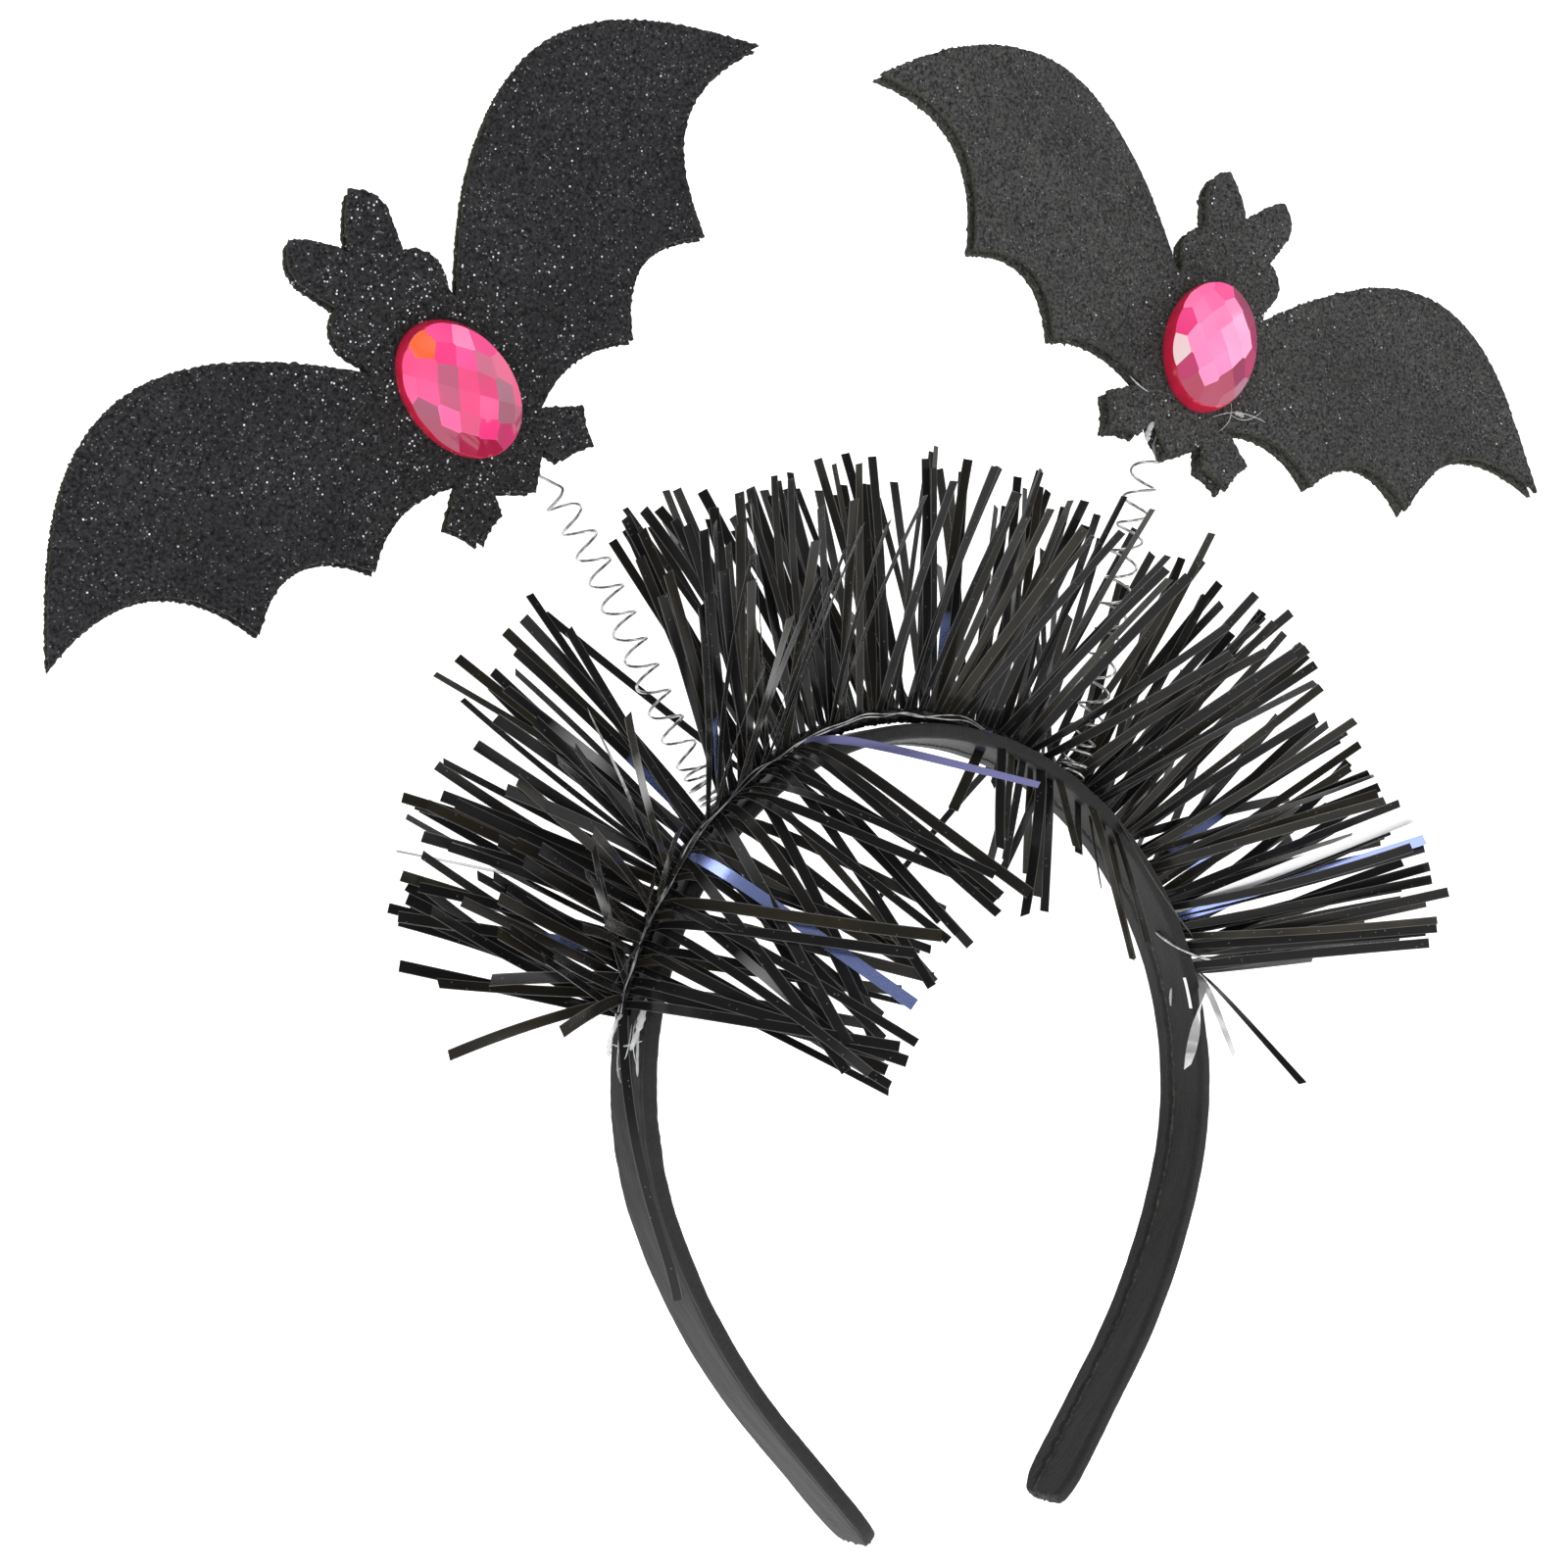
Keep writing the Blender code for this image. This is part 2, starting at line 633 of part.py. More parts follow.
def cut_groove(sheet, name, bat, holder, finish):
    """Cut the channel for the wire's end into the back sheet's inner face."""
    inner_end = TAIL_DROP - WIRE_TAIL - 2.0 * GAP
    length = WIRE_TAIL + WIRE_LEAD
    floor = wire_depth() + WIRE_DIAMETER / 2.0 + GAP / 2.0
    mesh = bpy.data.meshes.new(name)
    bm = bmesh.new()
    bmesh.ops.create_cube(bm, size=1.0)
    bmesh.ops.scale(bm, vec=(GROOVE_WIDTH, 2.0 * floor, length), verts=bm.verts)
    bm.to_mesh(mesh)
    bm.free()
    cutter = add_object(name, mesh, finish, holder)
    cutter.location = (bat["entry"] * BODY_HALF_WIDTH, 0.0, -inner_end - length / 2.0)
    cutter.hide_render = True
    cutter.display_type = "WIRE"
    groove = sheet.modifiers.new("wire groove", "BOOLEAN")
    groove.operation = "DIFFERENCE"
    groove.object = cutter


def build_stone(name, holder, finish):
    """The oval stone as rings of flat facets over a flat back."""
    rings = []
    for _, share, height in STONE_RINGS:
        ring = []
        for side in range(STONE_SIDES):
            turn = 2.0 * math.pi * (side + 0.5) / STONE_SIDES
            across = math.cos(turn) * share * STONE_WIDTH / 2.0
            upright = math.sin(turn) * share * STONE_LENGTH / 2.0
            ring.append(Vector((across, -height * STONE_HEIGHT, upright)))
        rings.append(ring)
    points, faces = loft(rings)
    thing = add_object(name, mesh_from(name, points, faces), finish, holder)
    thing.location = (0.0, -GAP / 2.0 - SHEET_THICKNESS - GAP, 0.0)
    return thing


def main():
    """Build every piece of the headband."""
    clear_scene()
    sleeve = material("charcoal fabric sleeve", (0.075, 0.078, 0.075), 0.85)
    foil = material("black foil", (0.018, 0.018, 0.017), 0.22)
    steel = material("bright steel wire", (0.70, 0.70, 0.69), 0.25, 1.0)
    foam = material("black glitter foam", (0.030, 0.030, 0.031), 0.80)
    pink = material("pink acrylic stone", (0.85, 0.06, 0.22), 0.06)
    build_band(sleeve)
    placements = {side: placement_of(bat) for side, bat in BATS.items()}
    axes = [spring_axis(bat, placements[side]) for side, bat in BATS.items()]
    build_tinsel(foil, axes, list(placements.values()))
    for side, bat in BATS.items():
        build_spring(f"spring_{side}", bat, placements[side], steel)
        holder = bpy.data.objects.new(f"bat_{side}", None)
        bpy.context.scene.collection.objects.link(holder)
        holder.matrix_world = placements[side]
        build_sheet(f"bat_{side}_front", bat, holder, foam, True)
        back = build_sheet(f"bat_{side}_back", bat, holder, foam, False)
        cut_groove(back, f"wire_channel_{side}", bat, holder, foam)
        build_stone(f"gem_{side}", holder, pink)


main()
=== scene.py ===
"""Bat headband: a fabric-sleeved hoop with a foil garland, two glitter-foam bats and pink stones.

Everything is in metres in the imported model's frame: +Z up, the origin at the inner top of the
hoop's arch, -Y the front that the bats face. The sections follow the headband as it is put
together, from the sleeve out to the stones, and end with the studio.
"""
import math

import bmesh
import bpy
import numpy as np
from mathutils import Matrix, Vector
from mathutils.geometry import delaunay_2d_cdt


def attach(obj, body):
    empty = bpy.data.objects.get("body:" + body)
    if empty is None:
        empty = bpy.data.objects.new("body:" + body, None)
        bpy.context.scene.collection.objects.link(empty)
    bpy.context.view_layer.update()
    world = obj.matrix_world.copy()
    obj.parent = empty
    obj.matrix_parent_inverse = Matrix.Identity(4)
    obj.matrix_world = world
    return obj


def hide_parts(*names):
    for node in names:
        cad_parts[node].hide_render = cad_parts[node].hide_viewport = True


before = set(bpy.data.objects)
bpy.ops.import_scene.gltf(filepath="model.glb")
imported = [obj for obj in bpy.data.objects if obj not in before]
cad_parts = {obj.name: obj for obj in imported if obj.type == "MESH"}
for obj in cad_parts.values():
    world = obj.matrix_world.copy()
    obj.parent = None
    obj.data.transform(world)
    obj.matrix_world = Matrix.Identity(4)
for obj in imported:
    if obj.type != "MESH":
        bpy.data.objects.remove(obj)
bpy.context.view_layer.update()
TO_BACK = np.array((0.0, 1.0, 0.0))


# Sleeve: a sprung plastic strip in a charcoal satin sleeve, cut as one long piece, wrapped round
# the strip from the back and glued down along the inner face, where its rough edge shows with a
# painted highlight along it. The ends are folded in and cut short, so that they narrow to a blunt
# tip.
ARCH_RADIUS = 0.060
ARCH_SWEEP = math.radians(110.0)
LEG_RADIUS = 0.111
LEG_SWEEP = math.radians(20.0)
TIP_LENGTH = 0.0275
BAND_WIDTH = 0.0114
BAND_THICKNESS = 0.0028
SLEEVE_CORNER = 0.0009
TIP_ROUNDING = 0.0065
TIP_END_WIDTH = 0.0065
TIP_EDGE = 0.0009
SLEEVE_ROWS = 620
# More rows go to the tips: a run lags behind its share of the way by this much of a sine
TIP_CROWDING = 0.7
CLOTH_THICKNESS = 0.00025
# The cloth's relief, in metres: the wrapped edge's side, the step up to it, and the heights or
# depths, widths and lengths of what else the sleeve shows
CLOTH_EDGE_SIDE = 0.0020
CLOTH_STEP = (0.0001, 0.0005)
EDGE_WOBBLES = ((0.00022, 0.004, 3), (0.00012, 0.0011, 4))
GROOVE_DEPTH = 0.00030
GROOVE_WIDTH = 0.00022
RIDGE_HEIGHT = 0.00012
RIDGE_WIDTH = 0.0003
RIDGE_OFFSET = 0.0005
TUCK_DEPTH = 0.00016
TUCK_WIDTH = 0.0003
TUCK_INSET = 0.0009
RIPPLE_HEIGHT = 0.00003
RIPPLE_LENGTHS = (0.013, 0.006)
PUCKER_HEIGHT = 0.00011
PUCKER_LENGTHS = (0.0032, 0.007)
PUCKER_RUN = -0.098
PUCKER_REACH = 0.012
PUCKER_BACK = (-0.002, 0.004)
LUMP_HEIGHT = 0.000018
LUMP_LENGTH = 0.0012
TIP_CALM = 0.004
# The shares of the sleeve's thickness that its tips lose, and of a section's rise past which a
# point lies on the inner or outer face; and the way, in x, y and z, in which the cut ends are ragged
TIP_THINNING = 0.75
FACE_RISE = 0.95
RAGGED_WAY = np.array((0.3, 0.0, 1.0))
RAGGED_HEIGHT = 0.0002
RAGGED_REACH = 0.0005
HALF_RUN = ARCH_RADIUS * ARCH_SWEEP + LEG_RADIUS * LEG_SWEEP + TIP_LENGTH
CHARCOAL = (0.010, 0.0105, 0.0098, 1.0)
CHARCOAL_NAP = (0.021, 0.022, 0.0205, 1.0)
# A painted highlight: a paler line on the inner face just inside the cloth's wrapped edge. These are
# its colour, how far inside the edge it lies and how wide it is
SLEEVE_EDGE_HIGHLIGHT = (0.09, 0.09, 0.083, 1.0)
EDGE_HIGHLIGHT_OFFSET = 0.0004
EDGE_HIGHLIGHT_WIDTH = 0.00035


class Value:
    """A socket in a finish's nodes. Sums, differences, products and ratios of it add Math nodes."""

    def __init__(self, finish, socket):
        self.finish = finish
        self.socket = socket

    def maths(self, operation, *values, clamp=False):
        """One Math node that works on these values."""
        settings = {"operation": operation, "use_clamp": clamp}
        return self.finish.node("ShaderNodeMath", settings, dict(enumerate(values)))

    def __add__(self, other):
        return self.maths("ADD", self, other)

    def __sub__(self, other):
        return self.maths("SUBTRACT", self, other)

    def __mul__(self, other):
        return self.maths("MULTIPLY", self, other)

    def __truediv__(self, other):
        return self.maths("DIVIDE", self, other)

    def __rsub__(self, other):
        return self.maths("SUBTRACT", other, self)

    __radd__ = __add__
    __rmul__ = __mul__

    def above(self, threshold):
        """One where the value is over a threshold, and nought elsewhere."""
        return self.maths("GREATER_THAN", self, threshold)

    def between(self, low, high):
        """The value's way from low to high, held between nought and one."""
        return self.maths("MULTIPLY", self - low, 1.0 / (high - low), clamp=True)


class Finish:
    """A material of one Principled shader, and the nodes that feed it."""

    def __init__(self, name, **uniform):
        self.material = bpy.data.materials.new(name)
        self.material.use_nodes = True
        self.tree = self.material.node_tree
        self.shader = self.tree.nodes["Principled BSDF"]
        for socket, value in uniform.items():
            self.feed(socket.replace("_", " "), value)

    def join(self, value, socket):
        """Link a value to a socket, or set the socket to a plain number or colour."""
        if isinstance(value, Value):
            self.tree.links.new(value.socket, socket)
        else:
            socket.default_value = value

    def feed(self, socket, value):
        """Give one of the shader's own sockets its value."""
        self.join(value, self.shader.inputs[socket])

    def node(self, kind, settings, sockets, output=0):
        """Any node: its type, its settings, its sockets' values or links, and which output."""
        made = self.tree.nodes.new(kind)
        for setting, value in settings.items():
            if setting == "stops":
                for stop in value[2:]:
                    made.color_ramp.elements.new(stop[0])
                for element, (place, colour) in zip(made.color_ramp.elements, value):
                    element.position = place
                    element.color = colour
            else:
                setattr(made, setting, value)
        for socket, value in sockets.items():
            self.join(value, made.inputs[socket])
        return Value(self, made.outputs[output])

    def place(self):
        """The piece's own coordinates, which are the frame's metres."""
        return self.node("ShaderNodeTexCoord", {}, {}, "Object")

    def read(self, name):
        """An attribute of the piece's mesh."""
        return self.node("ShaderNodeAttribute", {"attribute_name": name}, {}, "Fac")

    def noise(self, place, size, detail=2.0, roughness=0.5):
        """Cloudy noise whose lumps are about as large as size, in metres."""
        sockets = {"Vector": place, "Scale": 1.0 / size, "Detail": detail, "Roughness": roughness}
        return self.node("ShaderNodeTexNoise", {}, sockets, "Fac")

    def grains(self, place, size, output):
        """Voronoi cells about as large as size, in metres."""
        return self.node("ShaderNodeTexVoronoi", {}, {"Vector": place, "Scale": 1.0 / size}, output)

    def mix(self, share, first, second):
        """The colour a share of the way from the first to the second."""
        sockets = {0: share, 6: first, 7: second}
        return self.node("ShaderNodeMix", {"data_type": "RGBA"}, sockets, 2)

    def bump(self, height, depth, strength):
        """Normals of a relief whose height runs from nought to one over a depth in metres."""
        sockets = {"Height": height, "Distance": depth, "Strength": strength}
        return self.node("ShaderNodeBump", {}, sockets)


def ripples(u, seed, v=0.0, waves=14):
    """Smooth chance: the sum of sine waves of u and v whose headings, lengths of about one and
    phases are seeded, over the root of their number."""
    chance = np.random.default_rng(seed)
    heading = chance.uniform(0.0, 2.0 * np.pi, waves)
    pace = 2.0 * np.pi * chance.uniform(0.6, 1.7, waves)
    phase = chance.uniform(0.0, 2.0 * np.pi, waves)
    along = np.multiply.outer(u, pace * np.cos(heading))
    across = np.multiply.outer(v, pace * np.sin(heading))
    return np.sin(along + across + phase).sum(axis=-1) / math.sqrt(waves)


def step_up(value, low, high):
    """Smooth step: 3t^2 - 2t^3 of the value's way t from low to high, held in nought to one."""
    t = np.clip((value - low) / (high - low), 0.0, 1.0)
    return t * t * (3.0 - 2.0 * t)


def hump(distance, width):
    """A hump of height one: e to the power of minus the square of the distance over a width."""
    return np.exp(-((distance / width) ** 2))


def add_object(name, data):
    """An object for a mesh, a lamp or a camera, in the scene."""
    made = bpy.data.objects.new(name, data)
    bpy.context.scene.collection.objects.link(made)
    return made


def add_piece(name, points, faces, finish, nodes=(), sharp=None):
    """A piece of the headband from points and faces. Faces are turned outward by the sign of the
    volume, a third of the sum of each corner's triple product with its face's next two."""
    points = np.asarray(points, float).reshape(-1, 3)
    faces = [part if isinstance(part, list) else part.tolist() for part in faces]
    faces = [face for part in faces for face in part]
    halves = [(face[0], face[2], face[3]) for face in faces if len(face) == 4]
    corners = np.array([face[:3] for face in faces] + halves)
    a, b, c = (points[corners[:, k]] for k in range(3))
    if np.einsum("ij,ij->i", a, np.cross(b, c)).sum() < 0.0:
        faces = [face[::-1] for face in faces]
    mesh = bpy.data.meshes.new(name)
    mesh.from_pydata(points.tolist(), [], faces)
    mesh.update()
    mesh.shade_smooth()
    if sharp is not None:
        mesh.set_sharp_from_angle(angle=math.radians(sharp))
    mesh.materials.append(finish.material)
    piece = add_object(name, mesh)
    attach(piece, "root")
    if nodes:
        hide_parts(*nodes)
    return piece


def add_attribute(piece, name, values):
    """One number for each point of a piece's mesh."""
    attribute = piece.data.attributes.new(name, "FLOAT", "POINT")
    attribute.data.foreach_set("value", np.asarray(values, np.float32).ravel())


def tube_faces(rows, columns, tubes=1):
    """Quads of closed tubes of rows x columns points each, with a fan of triangles on the middle
    point that follows each tube's points for each end: first the start's, then the end's."""
    block = rows * columns + 2
    index = np.arange(rows * columns).reshape(rows, columns)
    beside = np.roll(index, -1, axis=1)
    quads = np.stack([index[:-1], beside[:-1], beside[1:], index[1:]], axis=-1).reshape(-1, 4)
    start = np.full(columns, rows * columns)
    fans = np.concatenate([
        np.stack([start, beside[0], index[0]], axis=-1),
        np.stack([start + 1, index[-1], beside[-1]], axis=-1),
    ])
    shift = (np.arange(tubes) * block)[:, None, None]
    return [(quads + shift).reshape(-1, 4), (fans + shift).reshape(-1, 3)]


def tube_points(grid):
    """The points of tubes, a (tubes, rows, columns, 3) grid, each followed by its end middles."""
    tubes, rows, columns = grid.shape[:3]
    middles = np.stack([grid[:, 0].mean(axis=1), grid[:, -1].mean(axis=1)], axis=1)
    return np.concatenate([grid.reshape(tubes, rows * columns, 3), middles], axis=1)


def add_tubes(name, tubes, finish, nodes=(), sharp=None):
    """Closed tubes as one piece, from their (tubes, rows, columns, 3) grid."""
    faces = tube_faces(*tubes.shape[1:3], len(tubes))
    return add_piece(name, tube_points(tubes), faces, finish, nodes, sharp)


def hoop(run):
    """The hoop's inner face at a run from its top: x, z and the angle of the way out. The arch's
    point turns by run over its radius, then the leg's by the rest over its own, then it is
    straight; the left side mirrors the right."""
    side = np.where(run < 0.0, -1.0, 1.0)
    run = np.abs(run)
    arch = np.minimum(run / ARCH_RADIUS, ARCH_SWEEP)
    leg = np.clip((run - ARCH_RADIUS * ARCH_SWEEP) / LEG_RADIUS, 0.0, LEG_SWEEP)
    turn = arch + leg
    rest = np.maximum(run - ARCH_RADIUS * ARCH_SWEEP - LEG_RADIUS * LEG_SWEEP, 0.0)
    x = ARCH_RADIUS * np.sin(arch) + LEG_RADIUS * (np.sin(turn) - np.sin(arch))
    z = ARCH_RADIUS * (np.cos(arch) - 1.0) + LEG_RADIUS * (np.cos(turn) - np.cos(arch))
    return side * (x + rest * np.cos(turn)), z - rest * np.sin(turn), side * turn


def on_hoop(run, side, rise):
    """Points of the frame at runs along the hoop, sides toward the back and rises above its
    inner face."""
    x, z, turn = hoop(run)
    return np.stack([x + rise * np.sin(turn), side + 0.0 * x, z + rise * np.cos(turn)], axis=-1)


def strip_section(face_points, corner_points, wall_points):
    """Round a flat strip's section: the shares A of (half width - corner), B of the corner, C of
    (thickness - two corners) and D of the corner that place each point, D from the corner's own
    middle. B and D are also the way out of the surface."""
    face = np.linspace(-1.0, 1.0, face_points)
    turn = np.linspace(0.0, np.pi / 2.0, corner_points + 2)[1:-1]
    wall = np.linspace(0.0, 1.0, wall_points)
    flat, bend, upright = np.ones_like(face), np.ones_like(turn), np.ones_like(wall)
    half = [
        (face, 0.0 * flat, 0.0 * flat, -flat),
        (bend, np.sin(turn), 0.0 * bend, -np.cos(turn)),
        (upright, upright, wall, 0.0 * wall),
        (bend, np.cos(turn), bend, np.sin(turn)),
    ]
    other = [(-a, -b, 1.0 - c, -d) for a, b, c, d in half]
    return [np.concatenate(column) for column in zip(*(half + other))]


def sleeve_lift(run, side, inner, outer):
    """How far the cloth stands above the strip. On the inner face it is the smooth step of the
    wrapped edge, less its groove and plus its ridge, both humps; on the outer face a groove by
    the front edge; all over, long ripples, puckers under a hump on the left shoulder, and lumps."""
    wobble = sum(height * ripples(run / size, seed) for height, size, seed in EDGE_WOBBLES)
    past = side - CLOTH_EDGE_SIDE - wobble
    step = CLOTH_THICKNESS * step_up(past, *CLOTH_STEP)
    groove = -GROOVE_DEPTH * hump(past, GROOVE_WIDTH)
    ridge = RIDGE_HEIGHT * hump(past + RIDGE_OFFSET, RIDGE_WIDTH)
    lift = inner * (step + groove + ridge)
    tuck = side + BAND_WIDTH / 2.0 - TUCK_INSET
    lift = lift - outer * TUCK_DEPTH * hump(tuck, TUCK_WIDTH)
    lift = lift + RIPPLE_HEIGHT * ripples(run / RIPPLE_LENGTHS[0], 5, side / RIPPLE_LENGTHS[1])
    pucker = hump(run - PUCKER_RUN, PUCKER_REACH) * (0.4 + 0.6 * step_up(-side, *PUCKER_BACK))
    puckers = ripples(run / PUCKER_LENGTHS[0], 6, side / PUCKER_LENGTHS[1])
    lift = lift + PUCKER_HEIGHT * pucker * puckers
    return lift + LUMP_HEIGHT * ripples(run / LUMP_LENGTH, 7, side / LUMP_LENGTH)


share = np.linspace(-1.0, 1.0, SLEEVE_ROWS)
run = HALF_RUN * (share - TIP_CROWDING * np.sin(2.0 * np.pi * share) / (2.0 * np.pi))
left_over = HALF_RUN - np.abs(run)
rounding = 1.0 - np.clip(left_over / TIP_ROUNDING, 0.0, 1.0)
narrowing = (BAND_WIDTH - TIP_END_WIDTH) / 2.0 * (1.0 - np.sqrt(1.0 - rounding ** 2))
half_width = BAND_WIDTH / 2.0 - narrowing
end = 1.0 - np.clip(left_over / TIP_EDGE, 0.0, 1.0)
pinch = TIP_EDGE * (1.0 - np.sqrt(1.0 - end ** 2))
face_share, corner_share, wall_share, corner_rise = strip_section(
    face_points=44, corner_points=5, wall_points=4)
side = (half_width[:, None] - SLEEVE_CORNER) * face_share + SLEEVE_CORNER * corner_share
rise = (BAND_THICKNESS - 2.0 * SLEEVE_CORNER) * wall_share + SLEEVE_CORNER * (1.0 + corner_rise)
inner = (corner_rise < -FACE_RISE).astype(float)
outer = (corner_rise > FACE_RISE).astype(float)
lift = sleeve_lift(run[:, None], side, inner, outer)
lift = lift * step_up(left_over, 0.0, TIP_CALM)[:, None]
slope = np.hypot(corner_share, corner_rise)
side = side + lift * corner_share / slope
rise = rise + lift * corner_rise / slope
side = side * (1.0 - pinch / half_width)[:, None]
middle = BAND_THICKNESS / 2.0
rise = middle + (rise - middle) * (1.0 - TIP_THINNING * pinch / middle)[:, None]
ragged = RAGGED_HEIGHT * ripples(side / LUMP_LENGTH, 8, rise / LUMP_LENGTH)
ragged = ragged * (left_over < RAGGED_REACH)[:, None]
grid = on_hoop(run[:, None], side, rise)
grid = grid + ragged[..., None] * RAGGED_WAY

satin = Finish("charcoal_satin", Specular_IOR_Level=0.25, Sheen_Weight=0.10, Sheen_Roughness=0.45)
satin.feed("Sheen Tint", (0.85, 0.87, 0.85, 1.0))
where = satin.place()
nap = satin.noise(where, 0.0006, detail=4.0, roughness=0.65)
patch = satin.noise(where, 0.011, detail=2.0)
# A painted highlight just inside the wrapped cloth edge, broken up by noise
edge_highlight = satin.read("cloth_edge")
tone = satin.mix((nap - 0.5) * 2.6 + patch, CHARCOAL, CHARCOAL_NAP)
highlight_breaks = satin.noise(where, 0.0009, detail=3.0).between(0.45, 0.7)
tone = satin.mix(edge_highlight * highlight_breaks, tone, SLEEVE_EDGE_HIGHLIGHT)
satin.feed("Base Color", tone)
satin.feed("Roughness", 0.55 + 0.2 * nap)
threads = satin.noise(where, 0.00028, detail=2.0, roughness=0.7)
satin.feed("Normal", satin.bump(threads + nap * 0.8, 0.00006, 0.8))

sleeve = add_tubes("sleeve", grid[None], satin, ["band"])
# Where the painted edge highlight lies: on the inner face, just inside the cloth's edge
edge_highlight_mask = inner * hump(side - CLOTH_EDGE_SIDE + EDGE_HIGHLIGHT_OFFSET, EDGE_HIGHLIGHT_WIDTH)
add_attribute(sleeve, "cloth_edge", np.append(edge_highlight_mask.ravel(), (0.0, 0.0)))


# Garland: strips slit in black foil, bound at one edge between silver threads that are twisted to
# a core, so that the strips stand out all round it. It is glued along the arch's outer face, and
# the strips that would point into the hoop bend round the band's edges. It sways past each spring.
CORE_RADIUS = 0.0016
CORE_GAP = 0.0003
CORE_SWAY = 0.0024
GARLAND_ENDS = (math.radians(-77.0), math.radians(75.0))
STRIP_STATIONS = 14
STRIP_THICKNESS = 0.00007
STRIP_WIDTHS = (0.0016, 0.0020)
STRIP_LENGTHS = (0.0435, 0.0515)
# At angles from the arch's top: how far round the core the strips stand, in degrees from straight
# out toward the front and toward the back, how many there are to a degree of the arch, their share
# of the full length, and how far they lean along the arch, in degrees
FAN_ANGLES = (-77, -73, -66, -60, -56, -44, -34, -24, -10, 12, 24, 36, 52, 75)
FAN_FRONT = (-48, -52, -58, -62, -64, -62, -58, -50, -42, -44, -54, -64, -60, -62)
FAN_BACK = (18, 18, 20, 22, 24, 32, 30, 32, 34, 34, 33, 30, 24, 14)
STRIP_DENSITY = (3.5, 2.8, 2.2, 2.3, 2.6, 3.1, 2.7, 2.0, 1.85, 1.85, 1.95, 2.1, 2.2, 2.6)
STRIP_REACH = (0.80, 0.80, 0.82, 0.88, 0.95, 0.97, 0.96, 0.93, 0.92, 0.93, 0.98, 1.0, 1.0, 1.0)
STRIP_LEAN = (3, -2, -8, -5, 0, 6, 9, 3, 0, 0, 0, 0, 0, 6)
STRIPS_IN_A_CUT = 2
# Chance among the strips, as standard deviations. A cut is a pair of strips slit side by side, and
# each cut stands the golden share of the fan further round the core than the last, give or take
GOLDEN_SHARE = 0.6180339887
REACH_SPREAD = 0.11
CUT_LEAN_SPREAD = math.radians(6.8)
STRIP_LEAN_SPREAD = math.radians(4.2)
STRIP_TURN_SPREAD = math.radians(3.6)
STRIP_ANGLE_SPREAD = 0.008
STRIP_LENGTH_SPREAD = 0.0009
ROLL_SPREAD = math.radians(15.0)
TWIST_SPREAD = math.radians(14.0)
# How far apart a cut's strips stand: along the arch in radians, and in turn
STRIP_ANGLE_STEP = 0.026
STRIP_TURN_STEP = math.radians(3.0)
# A strip leaves its root this far round at most, and bends over from there to its own turn over a
# share of its length: its softness
ROOT_TURN_LIMIT = math.radians(82.0)
ROOT_DEPTH = 0.7
ROOT_WIDTH = 0.75
ROOT_SHARE = 0.2
SOFTNESS = (0.05, 0.22)
SOFTNESS_BENT_OVER = 0.13
CURL_SPREAD = 0.0014
CURLY_SHARE = 0.12
CURLY_TIMES = 2.6
SPRING_CLEARANCE = 0.0004
# Nothing crosses this near the left spring's middle, as the photograph looks at it, past a share of
# the spring, and nothing in front of it past a smaller one, by what is past a share of the strip
CORRIDOR = 0.0033
SIGHT = (0.569, 0.819, 0.076)
CLEAR_FROM = 0.50
UNCOVERED_FROM = 0.05
CROSSING_FROM = 0.30
# The strips that bend round the band's front edge into the hoop: how far below level they point
# and by how much that varies, in degrees, at angles from the arch's top
INNER_STRIPS = 41
INNER_ANGLES = (-76.0, -66.0, -56.0, -46.0, -36.0, -27.0)
INNER_DROP = (13.0, 26.0, 38.0, 50.0, 54.0, 44.0)
INNER_SPREAD = (8.0, 15.0, 20.0, 27.0, 25.0, 10.0)
INNER_FRONT = (8.0, 34.0)
HANGING_STRIPS = 20
HANGING_ANGLES = (15.0, 23.0, 31.0, 41.0)
HANGING_DROP = (124.0, 118.0, 108.0, 94.0)
HANGING_SPREAD = (8.0, 12.0, 12.0, 8.0)
HANGING_LENGTHS = (0.018, 0.041)
BLACK_FOIL = (0.010, 0.010, 0.011, 1.0)
OLIVE_FOIL = (0.027, 0.023, 0.015, 1.0)
# The colour of painted highlights on the black foil: along its strips' edges and in scattered specks
FOIL_HIGHLIGHT = (0.13, 0.13, 0.125, 1.0)
# The colour of the black foil's painted blue reflection
BLUE_SHEEN_COLOUR = (0.34, 0.42, 0.86, 1.0)
# The foil's silver back, also the colour of the painted white glints
SILVER_BACK_AND_GLINT = (0.80, 0.80, 0.80, 1.0)
# The colour of the black foil's painted violet reflection
VIOLET_SHEEN_COLOUR = (0.13, 0.13, 0.27, 1.0)
# Where each bat and its spring are: the angle of the arch and the side of the spring's foot, the
# way from there to the stone in metres, how the bat is turned in degrees, and where the wire goes
# in, across the body in shares of its half width
BATS = {
    "left": {
        "foot": -40.0, "side": 1.0, "rise": (-0.0438, 0.0075, 0.0695),
        "yaw": -7.0, "pitch": 17.3, "roll": -43.8, "entry": 0.27,
    },
    "right": {
        "foot": 32.0, "side": -1.0, "rise": (0.0166, -0.0241, 0.0768),
        "yaw": -12.5, "pitch": -1.6, "roll": 24.2, "entry": -0.32,
    },
}
WIRE_DIAMETER = 0.00045
COIL_DIAMETER = 0.0056
SPRING_OFFSET = 0.0027
SEAT_GAP = 0.0003
BODY_HALF_WIDTH = 0.0095
TAIL_DROP = 0.0222
WIRE_LEAD = 0.0030
WIRE_TAIL = 0.0080
WIRE_DEPTH = WIRE_DIAMETER / 2.0 - SEAT_GAP / 4.0


